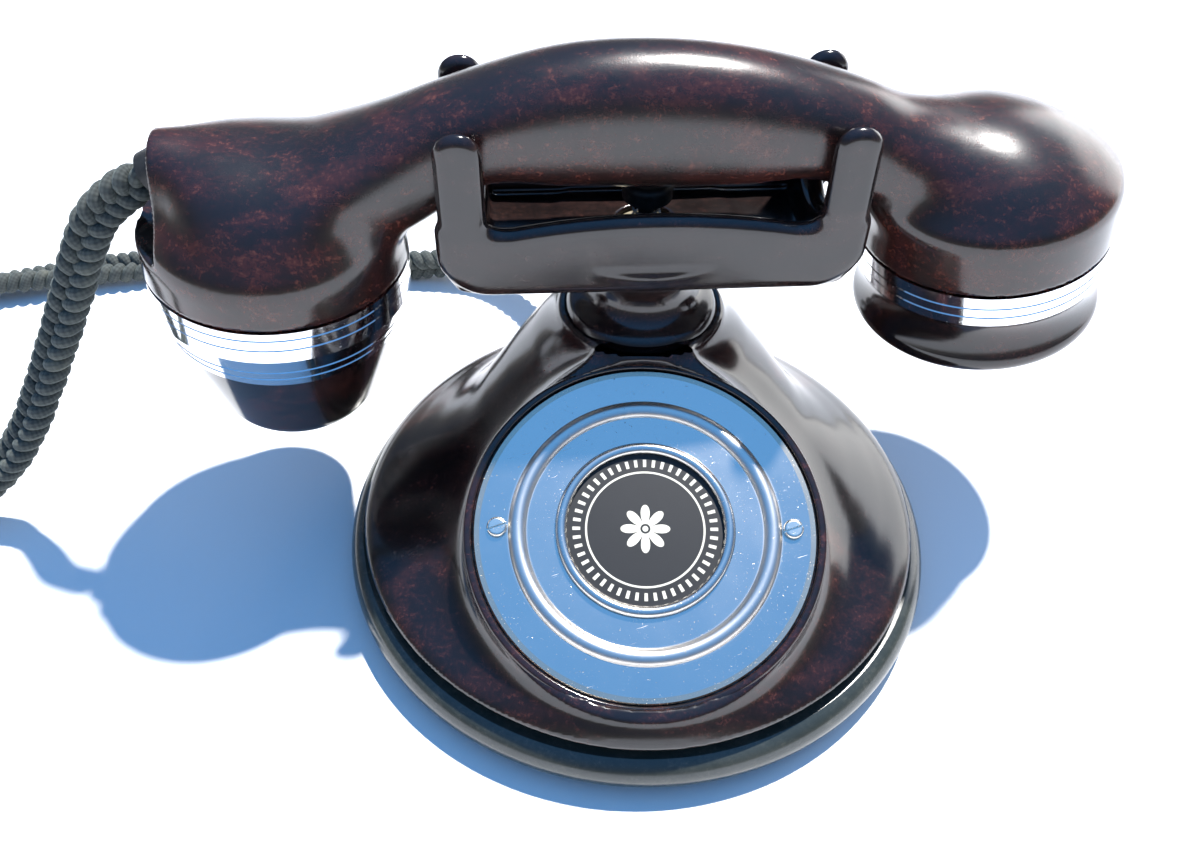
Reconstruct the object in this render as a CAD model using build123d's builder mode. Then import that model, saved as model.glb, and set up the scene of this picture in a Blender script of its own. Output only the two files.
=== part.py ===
"""Desk telephone with a round moulded body, a blanked dial mount, a four-horned
cradle and a corded handset. Millimetres, +Z up.

The origin is the centre of the base on the table. The dial mount faces -Y, the
transmitter lies at -X and the receiver at +X.
"""
from build123d import *
import os
from math import asin, cos, sin, sqrt, tan, radians, pi

os.makedirs("parts", exist_ok=True)

# ------------------------------------------------------------------ fits
SEAT_GAP = 0.05      # between pieces of one body that rest on each other
FIT_GAP = 0.15       # round a piece that drops into a seat
SLIDE_GAP = 0.08     # round a moving rod or pin
BODY_GAP = 0.3       # between pieces on different bodies

# ------------------------------------------------------------------ base
BASE_R = 76.0        # widest radius of the base ring
FELT_T = 1.5         # felt under the base
FELT_EDGE = 2.0      # how far the felt stays inside the roll
RING_H = 9.8         # height of the rolled part of the base ring
RING_WALL = 12.0     # radial depth of the base ring
ROLL_IN = 3.6        # how far the roll draws in at its top and bottom
GROOVE_H = 3.2       # dark groove between the ring and the housing
GROOVE_IN = 2.2      # how far the groove is set in from the housing's edge
LEDGE_W = 11.0       # inner ledge of the ring, which carries the pan
LEDGE_T = 3.5
PAN_T = 1.6          # sheet of the bottom pan
SCREW_R = 1.5        # shank radius of the machine screws
HEAD_R = 2.8         # their head radius
HEAD_T = 1.6         # their head height
THREAD_L = 8.0       # how far the housing's screws reach up into their bosses
BOSS_R = 4.2         # moulded bosses for those screws
BOSS_H = 18.0        # and their height
BOSS_ANGLES = (90, 210, 330)
PAN_ANGLES = (30, 150, 270)

# ------------------------------------------------------------------ housing
RIM_STEP = 4.0       # how far the housing's lower edge stands inside the ring's widest line
RIM_ROUND = 1.0      # rounding of that edge
WALL = 3.0           # moulded wall
NECK_EDGE = 2.2      # rim of the housing's top round the cradle's foot
NECK_Y = 32.3        # how far the neck stands behind the centre
NECK_Z = 56.4        # height of the neck's top above the table
NECK_WEB = 4.0       # thickness of the neck's top
# The bell's outline from its rim to its neck. Each row has the height, how much of the
# flare's radius is left, and how much of the way back to the rim the rear wall keeps.
BELL = [
    (0.0, 1.0, 1.0),
    (0.06, 0.953, 0.885),
    (0.131, 0.832, 0.656),
    (0.215, 0.68, 0.47),
    (0.322, 0.514, 0.448),
    (0.442, 0.387, 0.508),
    (0.585, 0.263, 0.525),
    (0.752, 0.142, 0.366),
    (1.0, 0.0, 0.0),
]

# ------------------------------------------------------------------ dial mount
PLATE_R = 40.2       # radius of the blanking plate
PLATE_T = 1.2        # its thickness
PLATE_TILT = 23.2    # its slope from the horizontal, degrees
PLATE_EDGE = 0.3     # chamfer of its edge
MOUNT_GAP = 2.05     # between the lip and the cradle's foot
MOUNT_DROP = 1.8     # how far the lip's back edge lies below the neck's top
LIP = 2.4            # moulded lip round the plate
LIP_H = 0.5          # how far the lip stands above the plate
SEAT_W = 4.0         # ledge that carries the plate
MOUNT_DEPTH = 9.0    # depth of the mount's inner wall
RIDGE_AT = 10.3      # crest of the plate's raised ridge, in from the plate's edge
RIDGE_W = 4.2        # its width
RIDGE_H = 1.3        # and height
BEAD_OUT = 21.0      # ring that holds the card, outside radius
BEAD_H = 1.7         # its height above the plate
BEAD_STEP = 1.0      # how far it covers the card's edge
CARD_R = 18.4        # visible radius of the card
CARD_T = 0.4
CARD_RECESS = 0.6    # depth of the card's seat in the plate
PLATE_SCREW_IN = 5.6     # the plate's two screws, in from its edge
PLATE_SCREW_R = 1.2
PLATE_HEAD_R = 2.4
PLATE_HEAD_T = 1.3
SLOT_W = 0.5         # slot of a screw's head
SLOT_TURN = 20       # and its direction, degrees
BRACKET_T = 2.0      # steel strap behind the plate
BRACKET_W = 12.0

# ------------------------------------------------------------------ cradle
CRADLE_X = 48.5      # half the width of the cradle
CRADLE_DEPTH = 39.4  # over the front and rear walls
CRADLE_WALL = 5.2    # front and rear wall
CRADLE_TURN = 3.4    # how far the clamped cradle is turned on the body, degrees
STEM_H = 18.2        # from the neck's top to the underside of the trough
FLOOR_T = 6.0        # floor of the trough
WALL_H = 17.7        # height of the walls beside the horns, over that underside
WALL_CROWN = 3.0     # how much higher the walls are at the middle
HORN_H = 41.9        # height of the horns over the same underside
HORN_W = 10.8        # width of a horn
CORNER_R = 11.0      # lower corners of the walls
ELBOW_R = 5.0        # where a horn rises from its wall
REST_X = 41.0        # saddle that carries the grip at each end of the trough
REST_T = 6.0
REST_H = 18.4        # its height over the trough's underside
FOOT_R = 19.2        # radius of the cradle's foot
FOOT_T = 2.6
FOOT_SUNK = 1.2      # how deep the foot sits in the neck
STEM_R = 12.5        # waist of the stem
STEM_TOP_R = 15.5    # where the stem meets the trough
STUD_R = 5.0         # hollow stud that clamps the cradle
STUD_HEAD_R = 7.5
STUD_HEAD_T = 1.6
STUD_SUNK = 1.0      # how far its head lies below the trough's floor
STUD_END = 2.0       # how far it stands out below its nut
NUT_R = 9.0
NUT_T = 3.0
WASHER_R = 11.0
WASHER_T = 1.2

# ------------------------------------------------------------------ hook switch
BUTTON_R = 6.0       # plunger button
BUTTON_T = 4.5
BUTTON_RING = 0.4    # depth of the ring cut in its top
ROD_R = 2.0          # plunger rod
ARM = 14.0           # from the plunger to the lever's pin
LEVER_DROP = 19.4    # from the underside of the neck's web down to the lever's pin
LEVER_W = 8.0
LEVER_T = 1.5
LEVER_EYE = 1.6      # metal round the pin
PIN_R = 1.25
CHEEK_T = 1.5        # sheet of the switch frame
CHEEK_EDGE = 6.0     # how far the frame reaches past the pin and the stack
SPRING_WIRE = 0.6
SPRING_R = 3.2       # mean radius of the plunger's coil spring
LEAF_T = 0.4
LEAF_W = 5.0
LEAF_L = 26.0
LEAF_TAIL = 5.0      # soldering end of a leaf, in front of the stack
LEAVES = 4
LEAF_PITCH = 2.6
STACK_L = 12.0       # length of the clamped stack
STACK_SCREW_R = 1.1
STACK_HEAD_R = 1.9
STACK_HEAD_T = 1.2
STACK_SCREW_AT = 3.0     # each of its screws stands this far from its middle

# ------------------------------------------------------------------ terminals
BLOCK_X = -34.0
BLOCK_Y = 8.0
BLOCK_W = 14.0
BLOCK_L = 34.0
BLOCK_H = 8.0
BLOCK_ROUND = 1.5
TERMINALS = 4
TERMINAL_PITCH = 8.0
LEAD_BEND = 3.5      # bends of the leads inside the base
LEAD_STEP = 3.0      # between neighbouring leads
LEAD_TURN_X = 18.0   # where the first of them turns

# ------------------------------------------------------------------ handset
GRIP_W = 27.2        # width of the grip, front to back
GRIP_H = 31.6        # height of the grip at its middle
GRIP_FALL = 1.6      # how far its underside falls over the width of the plunger
GRIP_RISE = 36.5     # from the trough's underside to the grip's centre line
TX_X = -89.0         # centre of the transmitter cup
TX_R = 31.2          # its radius
TX_DROP = 35.3       # from the grip's centre line down to its bright band
TX_DOME = 18.0       # rise of the dome over its wall
TX_WALL_H = 9.5      # upright wall of the moulded cup
TX_DEPTH = 7.5       # depth of its hollow
TX_CANT = -3.0       # how far its foot leans inwards, degrees
TX_BAND_H = 19.0
TX_UPRIGHT = 9.0     # upper part of that band, before it narrows
TX_TAPER = 3.2       # how much the rest of it narrows
MOUTH_H = 27.5       # how far the mouthpiece stands below its band
MOUTH_R = 19.0       # radius of its lower end
MOUTH_ROUND = 7.0    # rounding of that end
END_CUT = 8.7        # depth that the handset's flat end cuts off its cup
END_DROP = 24.6      # lower edge of that flat, below the grip's centre line
RX_X = 84.0          # centre of the receiver cup
RX_R = 30.4          # its radius
RX_DROP = 31.1       # from the grip's centre line down to its bright band
RX_DOME = 13.5
RX_WALL_H = 14.0
RX_DEPTH = 12.5
RX_CANT = 8.5        # how far its foot leans outwards, degrees
RX_BAND_H = 9.0
RX_TAPER = 0.4
CAP_H = 15.5         # ear cap
CAP_WAIST = 1.8      # how far the cap's side is drawn in
CUP_WALL = 3.2       # moulded wall of both cups
CUP_TRIM = 6.0       # the grip is trimmed this far below the cups' rims
BAND_LIP = 5.0       # spigot of each band inside its cup
GAP_LINE = 0.5       # open line between band and moulding
ENGRAVE = 0.22       # depth and half width of the engraved lines
BAND_WALL = 2.2      # wall of both bright bands
SHELL = 2.4          # wall of the mouthpiece and the ear cap
SPIGOT = 4.0         # how far both screw up into their bands
HOLE_R = 1.3         # speaking and listening holes
HOLE_RING = 4.4
CAPSULE_RIM = 3.5    # height of the capsule's rim
CAPSULE_H = 13.0     # and of its body
CAPSULE_PIN_R = 5.0
CAPSULE_PIN = 2.0    # contact stud on its top
CONTACT_W = 5.0      # springs that touch the capsule
CONTACT_L = 10.0
CONTACT_AT = 9.0
MAGNET_W = 9.0
MAGNET_L = 30.0
MAGNET_T = 4.0
MAGNET_ROUND = 1.5
FRAME_T = 1.6        # plate that carries the receiver's magnet
POLE_R = 2.2
POLE_Y = 8.5
COIL_R = 6.0
COIL_LIFT = 0.6      # the coils' clearance over the pole tips
TUNNEL_R = 3.4       # wire passage through the grip
WIRE_R = 1.0
LEAD_R = 0.6         # the cord's own wires
LEAD_HOLE = 1.5      # hole for the cord's wires
LEAD_IN = 6.4        # where they drop into the cup, in from the flat end

# ------------------------------------------------------------------ cord
CORD_D = 10.5
CORD_OUT = 11.0      # straight stretch out of the handset
INLET_X = 16.0       # each rear inlet stands this far to one side
BUSH_R = 6.8         # rear bushings
BUSH_OUT = 5.0       # how far they stand out behind the housing
BUSH_IN = 9.5        # and how far they reach inside it
BUSH_ROUND = 0.8
LINE_BORE = 3.75     # bore of each bushing
GLAND_R = 5.4        # bushing in the handset's flat end
GLAND_DROP = 12.8    # its centre, below the grip's centre line
GLAND_SLOPE = 28.0   # how far the cord's exit points down, degrees
GLAND_DEPTH = 5.5
GLAND_ROOM = 2.5     # room behind the bushing for the wires
GLAND_OUT = 2.1
# the handset cord's route from the handset to the rear inlet
CORD_ROUTE = [
    (-130.6, 23.5, 84.1),
    (-139.5, 20.5, 66.0),
    (-150.5, 16.0, 45.0),
    (-161.5, 10.5, 25.0),
    (-175.0, 5.0, 11.0),
    (-198.0, -0.5, 5.3),
    (-228.0, -4.0, 5.3),
    (-259.5, 7.5, 5.3),
    (-279.0, 35.0, 5.3),
    (-273.0, 68.0, 5.3),
    (-244.0, 89.5, 5.3),
    (-206.0, 100.5, 5.3),
    (-167.0, 110.5, 5.3),
    (-129.0, 114.5, 5.3),
    (-97.0, 112.5, 5.3),
    (-65.5, 111.8, 5.3),
    (-47.5, 112.0, 10.2),
    (-32.5, 106.5, 18.5),
    (-21.0, 94.5, 24.3),
    (-16.0, 78.4, 28.0),
]

# ------------------------------------------------------------------ derived
RIM_R = BASE_R - RIM_STEP
RING_TOP = FELT_T + RING_H
RIM_Z = RING_TOP + GROOVE_H
RING_IN = BASE_R - RING_WALL
LEDGE_Z = FELT_T + SEAT_GAP + PAN_T + SEAT_GAP
LEDGE_IN = RING_IN - LEDGE_W
LEDGE_TOP = LEDGE_Z + LEDGE_T
FIX_AT = LEDGE_IN + LEDGE_W / 2
TILT = radians(PLATE_TILT)
MOUNT_R = PLATE_R + LIP
MOUNT_BORE = PLATE_R - SEAT_W
PLATE_PLANE = Plane(
    origin=(0, NECK_Y - FOOT_R - MOUNT_GAP - MOUNT_R * cos(TILT),
            NECK_Z - MOUNT_DROP - MOUNT_R * sin(TILT)),
    x_dir=(1, 0, 0),
    z_dir=(0, -sin(TILT), cos(TILT)),
)
NECK_R = FOOT_R + NECK_EDGE
WEB_LOW = NECK_Z - NECK_WEB
FOOT_Z = NECK_Z - FOOT_SUNK
CRADLE_LOW = NECK_Z + STEM_H
FLOOR_TOP = CRADLE_LOW + FLOOR_T
WALL_TOP = CRADLE_LOW + WALL_H
HORN_TOP = CRADLE_LOW + HORN_H
GRIP_Z = CRADLE_LOW + GRIP_RISE
TX_Z = GRIP_Z - TX_DROP
RX_Z = GRIP_Z - RX_DROP
END_X = TX_X - TX_R + END_CUT
END_LOW = GRIP_Z - END_DROP
LEAD_X = END_X + LEAD_IN
GLAND_Z = GRIP_Z - GLAND_DROP
LEVER_Z = WEB_LOW - LEVER_DROP
BOTTOM_UP = (Align.CENTER, Align.CENTER, Align.MIN)
TOP_DOWN = (Align.CENTER, Align.CENTER, Align.MAX)


def bell(row):
    """Radius, y and z of the housing's outside at one row of its outline."""
    height, flare, back = row
    radius = NECK_R + (RIM_R - NECK_R) * flare
    rear = NECK_Y + NECK_R + (RIM_R - NECK_Y - NECK_R) * back
    return radius, rear - radius, RIM_Z + (NECK_Z - RIM_Z) * height


INLET_RING, INLET_MID, INLET_Z = bell(BELL[len(BELL) // 2])    # halfway through its rows
INLET_Y = INLET_MID + sqrt(INLET_RING ** 2 - INLET_X ** 2)    # the housing's back there


def section(plane):
    """The upright plane through a plane's own axis, for a revolved cross-section."""
    return Plane(origin=plane.origin, x_dir=plane.x_dir, z_dir=-plane.y_dir)


def axis_of(plane):
    return Axis(plane.origin, plane.z_dir)


def export(piece, name):
    piece.label = name
    export_step(piece, "parts/" + name + ".step")


# ================================================================== base
with BuildPart() as base_felt:
    with BuildSketch():
        Circle(BASE_R - ROLL_IN - FELT_EDGE)
    extrude(amount=FELT_T - SEAT_GAP)
export(base_felt.part, "base_felt")

with BuildPart() as base_ring:
    with BuildSketch(Plane.XZ):
        with BuildLine():
            low = (BASE_R - ROLL_IN, FELT_T)
            high = (BASE_R - ROLL_IN, RING_TOP)
            ThreePointArc(low, (BASE_R, FELT_T + RING_H * 0.42), high)
            Polyline(
                high,
                (RIM_R - GROOVE_IN, RING_TOP),
                (RIM_R - GROOVE_IN, RIM_Z - SEAT_GAP),
                (RING_IN, RIM_Z - SEAT_GAP),
                (RING_IN, LEDGE_TOP),
                (LEDGE_IN, LEDGE_TOP),
                (LEDGE_IN, LEDGE_Z),
                (RING_IN, LEDGE_Z),
                (RING_IN, FELT_T),
                low,
            )
        make_face()
    revolve(axis=Axis.Z)
    with Locations((0, 0, LEDGE_TOP)):
        with PolarLocations(FIX_AT, 3, BOSS_ANGLES[0]):
            Hole(SCREW_R + FIT_GAP, LEDGE_T + 1)
        with PolarLocations(FIX_AT, 3, PAN_ANGLES[0]):
            Hole(SCREW_R + SEAT_GAP, LEDGE_T + 1)
export(base_ring.part, "base_ring")

PAN_Z = FELT_T + SEAT_GAP
with BuildPart() as base_pan:
    with BuildSketch(Plane.XY.offset(PAN_Z)):
        Circle(RING_IN - FIT_GAP)
        with PolarLocations(FIX_AT, 3, BOSS_ANGLES[0]):
            Circle(HEAD_R + FIT_GAP, mode=Mode.SUBTRACT)
        with PolarLocations(FIX_AT, 3, PAN_ANGLES[0]):
            Circle(SCREW_R + FIT_GAP, mode=Mode.SUBTRACT)
    extrude(amount=PAN_T)
    with Locations((0, 0, PAN_Z)):
        with PolarLocations(FIX_AT, 3, PAN_ANGLES[0]):
            Cone(HEAD_R + SEAT_GAP, SCREW_R + FIT_GAP, HEAD_T * 0.75, align=BOTTOM_UP,
                 mode=Mode.SUBTRACT)
export(base_pan.part, "base_pan")

with BuildPart() as pan_screws:
    with Locations((0, 0, PAN_Z)):
        with PolarLocations(FIX_AT, 3, PAN_ANGLES[0]):
            Cone(HEAD_R, SCREW_R, HEAD_T * 0.75, align=BOTTOM_UP)
            Cylinder(SCREW_R, LEDGE_TOP - PAN_Z, align=BOTTOM_UP)
export(pan_screws.part, "pan_screws")

# ================================================================== housing
with BuildPart() as bell_outside:
    for row in BELL:
        radius, y, z = bell(row)
        with BuildSketch(Plane.XY.offset(z)):
            with Locations((0, y)):
                Circle(radius)
    loft()
    fillet(bell_outside.edges().group_by(Axis.Z)[0], RIM_ROUND)

with BuildPart() as bell_inside:
    for row in BELL:
        radius, y, z = bell(row)
        with BuildSketch(Plane.XY.offset(z - WALL - (NECK_WEB - WALL) * row[0])):
            with Locations((0, y)):
                Circle(radius - WALL)
    loft()

with BuildPart() as bell_core:
    for row in BELL:
        radius, y, z = bell(row)
        with BuildSketch(Plane.XY.offset(z - WALL / 2)):
            with Locations((0, y)):
                Circle(radius - WALL / 2)
    loft()

MOUNT_FALL = PLATE_PLANE.origin.Z / cos(TILT)    # from the mount down to the table
with BuildPart() as mount_outside:
    with BuildSketch(PLATE_PLANE.offset(LIP_H)):
        Circle(MOUNT_R)
    extrude(amount=-MOUNT_FALL)
    fillet(mount_outside.edges().filter_by(GeomType.CIRCLE).sort_by(Axis.Z)[-1], LIP * 0.45)
    split(bisect_by=Plane.XY.offset(RIM_Z), keep=Keep.TOP)

with BuildPart() as mount_inside:
    with BuildSketch(PLATE_PLANE.offset(-PLATE_T - SEAT_GAP)):
        Circle(MOUNT_BORE)
    extrude(amount=-MOUNT_DEPTH)
    with BuildSketch(PLATE_PLANE.offset(-PLATE_T - SEAT_GAP)):
        Circle(PLATE_R + FIT_GAP)
    extrude(amount=PLATE_T + LIP_H + 1)

with BuildPart() as mount_cavity:
    with BuildSketch(PLATE_PLANE.offset(-PLATE_T - SEAT_GAP - WALL)):
        Circle(MOUNT_R - WALL)
    extrude(amount=-MOUNT_FALL)
    split(bisect_by=Plane.XY.offset(RIM_Z - 1), keep=Keep.TOP)

with BuildPart() as boss_posts:
    with BuildSketch(Plane.XY.offset(LEDGE_TOP + SEAT_GAP)):
        with PolarLocations(FIX_AT, 3, BOSS_ANGLES[0]):
            Circle(BOSS_R)
    extrude(amount=BOSS_H)
    with Locations((0, 0, RIM_Z)):
        with PolarLocations(FIX_AT, 3, BOSS_ANGLES[0]):
            Box(RIM_R - FIX_AT, WALL, LEDGE_TOP + BOSS_H - RIM_Z,
                align=(Align.MIN, Align.CENTER, Align.MIN))
    add(bell_core.part, mode=Mode.INTERSECT)

with BuildPart() as boss_feet:
    with BuildSketch(Plane.XY.offset(LEDGE_TOP + SEAT_GAP)):
        with PolarLocations(FIX_AT, 3, BOSS_ANGLES[0]):
            Circle(BOSS_R)
    extrude(amount=RIM_Z + 1 - LEDGE_TOP)

with BuildPart() as housing:
    add(bell_outside.part)
    add(mount_outside.part)
    add(bell_inside.part, mode=Mode.SUBTRACT)
    add(mount_cavity.part, mode=Mode.SUBTRACT)
    add(mount_inside.part, mode=Mode.SUBTRACT)
    add(boss_posts.part)
    add(boss_feet.part)
    with Locations((0, 0, LEDGE_TOP + SEAT_GAP)):
        with PolarLocations(FIX_AT, 3, BOSS_ANGLES[0]):
            Cylinder(SCREW_R + SEAT_GAP, THREAD_L + 1, align=BOTTOM_UP, mode=Mode.SUBTRACT)
    with Locations((0, NECK_Y, NECK_Z)):
        Cylinder(FOOT_R + FIT_GAP, 2 * FOOT_SUNK, mode=Mode.SUBTRACT)
        Cylinder(STUD_R + FIT_GAP, 3 * NECK_WEB, mode=Mode.SUBTRACT)
    with Locations((-INLET_X, INLET_Y, INLET_Z), (INLET_X, INLET_Y, INLET_Z)):
        Cylinder(BUSH_R + FIT_GAP, 2 * BUSH_IN, rotation=(90, 0, 0), mode=Mode.SUBTRACT)
export(housing.part, "housing")

# ================================================================== dial blank
RIDGE_OUT = PLATE_R - RIDGE_AT + RIDGE_W / 2
RIDGE_IN = RIDGE_OUT - RIDGE_W
PLATE_SCREW_AT = PLATE_R - PLATE_SCREW_IN
with BuildPart() as dial_blank_plate:
    with BuildSketch(section(PLATE_PLANE)):
        with BuildLine():
            Polyline((0, -PLATE_T), (PLATE_R, -PLATE_T), (PLATE_R, -PLATE_EDGE),
                     (PLATE_R - PLATE_EDGE, 0), (RIDGE_OUT, 0))
            ThreePointArc((RIDGE_OUT, 0), ((RIDGE_OUT + RIDGE_IN) / 2, RIDGE_H), (RIDGE_IN, 0))
            Polyline((RIDGE_IN, 0), (BEAD_OUT + FIT_GAP, 0), (BEAD_OUT + FIT_GAP, -CARD_RECESS),
                     (0, -CARD_RECESS), (0, -PLATE_T))
        make_face()
    revolve(axis=axis_of(PLATE_PLANE))
    with BuildSketch(PLATE_PLANE):
        with Locations((-PLATE_SCREW_AT, 0), (PLATE_SCREW_AT, 0)):
            Circle(PLATE_SCREW_R + FIT_GAP)
    extrude(amount=-PLATE_T, mode=Mode.SUBTRACT)
export(dial_blank_plate.part, "dial_blank_plate")

with BuildPart() as card_ring:
    with BuildSketch(section(PLATE_PLANE)):
        with BuildLine():
            foot = CARD_T + SEAT_GAP * 2 - CARD_RECESS
            Polyline((BEAD_OUT, BEAD_H * 0.5), (BEAD_OUT, SEAT_GAP - CARD_RECESS),
                     (BEAD_OUT - BEAD_STEP, SEAT_GAP - CARD_RECESS), (BEAD_OUT - BEAD_STEP, foot),
                     (CARD_R, foot), (CARD_R, BEAD_H * 0.5))
            ThreePointArc((CARD_R, BEAD_H * 0.5), ((CARD_R + BEAD_OUT) / 2, BEAD_H),
                          (BEAD_OUT, BEAD_H * 0.5))
        make_face()
    revolve(axis=axis_of(PLATE_PLANE))
export(card_ring.part, "card_ring")

with BuildPart() as number_card:
    with BuildSketch(PLATE_PLANE.offset(SEAT_GAP - CARD_RECESS)):
        Circle(BEAD_OUT - BEAD_STEP - FIT_GAP)
    extrude(amount=CARD_T)
export(number_card.part, "number_card")

STRAP_TOP = -PLATE_T - SEAT_GAP - WALL - SEAT_GAP
with BuildPart() as plate_strap:
    with BuildSketch(PLATE_PLANE.offset(STRAP_TOP)):
        Rectangle(2 * (MOUNT_BORE + SEAT_W * 0.6), BRACKET_W)
        Rectangle(2 * BEAD_OUT, BRACKET_W * 0.55, mode=Mode.SUBTRACT)
        with Locations((-PLATE_SCREW_AT, 0), (PLATE_SCREW_AT, 0)):
            Circle(PLATE_SCREW_R + SEAT_GAP, mode=Mode.SUBTRACT)
    extrude(amount=-BRACKET_T)
export(plate_strap.part, "plate_strap")

with BuildPart() as plate_screws:
    for side in (-1, 1):
        with BuildSketch(PLATE_PLANE.offset(SEAT_GAP)):
            with Locations((side * PLATE_SCREW_AT, 0)):
                Circle(PLATE_HEAD_R)
        extrude(amount=PLATE_HEAD_T)
        with BuildSketch(PLATE_PLANE.offset(SEAT_GAP)):
            with Locations((side * PLATE_SCREW_AT, 0)):
                Circle(PLATE_SCREW_R)
        extrude(amount=STRAP_TOP - BRACKET_T - SEAT_GAP)
    heads = plate_screws.faces().filter_by(
        lambda f: f.geom_type == GeomType.PLANE and f.area > pi * PLATE_HEAD_R ** 2 * 0.99
        and f.center().Z > PLATE_PLANE.origin.Z + PLATE_HEAD_T * 0.5)
    fillet(heads.edges(), PLATE_HEAD_T * 0.6)
    with BuildSketch(PLATE_PLANE.offset(SEAT_GAP + PLATE_HEAD_T)):
        with Locations((-PLATE_SCREW_AT, 0), (PLATE_SCREW_AT, 0)):
            Rectangle(3 * PLATE_HEAD_R, SLOT_W, rotation=SLOT_TURN)
    extrude(amount=-PLATE_HEAD_T * 0.55, mode=Mode.SUBTRACT)
export(plate_screws.part, "plate_screws")

# ================================================================== cradle
CRADLE_MID = Plane(origin=(0, NECK_Y, 0), x_dir=(1, 0, 0), z_dir=(0, -1, 0))
TURN_AXIS = Axis((0, NECK_Y, 0), (0, 0, 1))


def export_turned(piece, name):
    export(piece.rotate(TURN_AXIS, CRADLE_TURN), name)


HORN_IN = CRADLE_X - HORN_W
with BuildPart() as wall_pair:
    for near in (CRADLE_DEPTH / 2, -CRADLE_DEPTH / 2 + CRADLE_WALL):
        with BuildSketch(CRADLE_MID.offset(near)):
            with BuildLine():
                inner = (HORN_IN - ELBOW_R - 1, WALL_TOP)
                crown = (0, WALL_TOP + WALL_CROWN)
                ThreePointArc((-inner[0], inner[1]), crown, inner)
                Polyline(
                    inner,
                    (HORN_IN, WALL_TOP),
                    (HORN_IN, HORN_TOP),
                    (CRADLE_X, HORN_TOP),
                    (CRADLE_X, CRADLE_LOW),
                    (-CRADLE_X, CRADLE_LOW),
                    (-CRADLE_X, HORN_TOP),
                    (-HORN_IN, HORN_TOP),
                    (-HORN_IN, WALL_TOP),
                    (-inner[0], inner[1]),
                )
            make_face()
        extrude(amount=-CRADLE_WALL)
    tips = wall_pair.edges().filter_by(Axis.Y).group_by(Axis.Z)[-1]
    fillet(tips, HORN_W * 0.42)
    fillet(wall_pair.edges().filter_by(Axis.Y).group_by(Axis.Z)[0], CORNER_R)
    elbows = wall_pair.edges().filter_by(Axis.Y).filter_by(
        lambda e: abs(e.center().Z - WALL_TOP) < 0.01 and abs(abs(e.center().X) - HORN_IN) < 0.01)
    fillet(elbows, ELBOW_R)

with BuildPart() as cradle:
    add(wall_pair.part)
    with BuildSketch(CRADLE_MID.offset(CRADLE_DEPTH / 2 - CRADLE_WALL)):
        with Locations((0, CRADLE_LOW + FLOOR_T / 2)):
            Rectangle(2 * (CRADLE_X - CORNER_R * 0.75), FLOOR_T)
    extrude(amount=-(CRADLE_DEPTH - 2 * CRADLE_WALL))
    with BuildSketch(CRADLE_MID):
        with BuildLine():
            low = (FOOT_R, FOOT_Z + SEAT_GAP)
            brim = (FOOT_R, FOOT_Z + FOOT_T)
            waist = (STEM_R, (FOOT_Z + FOOT_T + CRADLE_LOW) / 2)
            top = (STEM_TOP_R, CRADLE_LOW)
            Polyline((0, low[1]), low, brim)
            Spline(brim, waist, top, tangents=((-1, 0.25), (0.5, 1)))
            Polyline(top, (STEM_TOP_R, CRADLE_LOW + FLOOR_T / 2), (0, CRADLE_LOW + FLOOR_T / 2),
                     (0, low[1]))
        make_face()
    revolve(axis=TURN_AXIS)
    for side in (-1, 1):
        with Locations((side * REST_X, NECK_Y, CRADLE_LOW + FLOOR_T / 2)):
            Box(REST_T, CRADLE_DEPTH - CRADLE_WALL, REST_H - FLOOR_T / 2, align=BOTTOM_UP)
    with Locations((0, NECK_Y, FLOOR_TOP)):
        Cylinder(STUD_HEAD_R + FIT_GAP, 2 * (STUD_HEAD_T + STUD_SUNK), mode=Mode.SUBTRACT)
        Cylinder(STUD_R + FIT_GAP, 2 * (FLOOR_TOP - FOOT_Z), mode=Mode.SUBTRACT)
export_turned(cradle.part, "cradle")

# ------------------------------------------------------------------ rear inlets
for name, side in (("cord_bushing", -1), ("line_bushing", 1)):
    with BuildPart() as bushing:
        with BuildSketch(Plane.XZ.offset(-INLET_Y - BUSH_OUT)):
            with Locations((side * INLET_X, INLET_Z)):
                Circle(BUSH_R)
                Circle(LINE_BORE, mode=Mode.SUBTRACT)
        extrude(amount=BUSH_OUT + BUSH_IN)
        outer = bushing.edges().group_by(Axis.Y)[-1].sort_by(SortBy.RADIUS)[-1]
        fillet(outer, BUSH_ROUND)
    export(bushing.part, name)

# ------------------------------------------------------------------ screws of the housing
with BuildPart() as housing_screws:
    with Locations((0, 0, LEDGE_Z)):
        with PolarLocations(FIX_AT, 3, BOSS_ANGLES[0]):
            Cylinder(HEAD_R, HEAD_T, align=TOP_DOWN)
            Cylinder(SCREW_R, LEDGE_T + THREAD_L, align=BOTTOM_UP)
export(housing_screws.part, "housing_screws")

# ------------------------------------------------------------------ stud and nut
STUD_TOP = FLOOR_TOP - STUD_SUNK
STUD_L = STUD_TOP - WEB_LOW + WASHER_T + NUT_T + STUD_END
with BuildPart() as cradle_stud:
    with Locations((0, NECK_Y, STUD_TOP)):
        Cylinder(STUD_HEAD_R, STUD_HEAD_T, align=TOP_DOWN)
        Cylinder(STUD_R, STUD_L, align=TOP_DOWN)
        Cylinder(ROD_R + SLIDE_GAP, 2 * STUD_L, mode=Mode.SUBTRACT)
export_turned(cradle_stud.part, "cradle_stud")

with BuildPart() as cradle_washer:
    with Locations((0, NECK_Y, WEB_LOW - SEAT_GAP)):
        Cylinder(WASHER_R, WASHER_T, align=TOP_DOWN)
        Cylinder(STUD_R + FIT_GAP, 2 * WASHER_T, mode=Mode.SUBTRACT)
export(cradle_washer.part, "cradle_washer")

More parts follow.
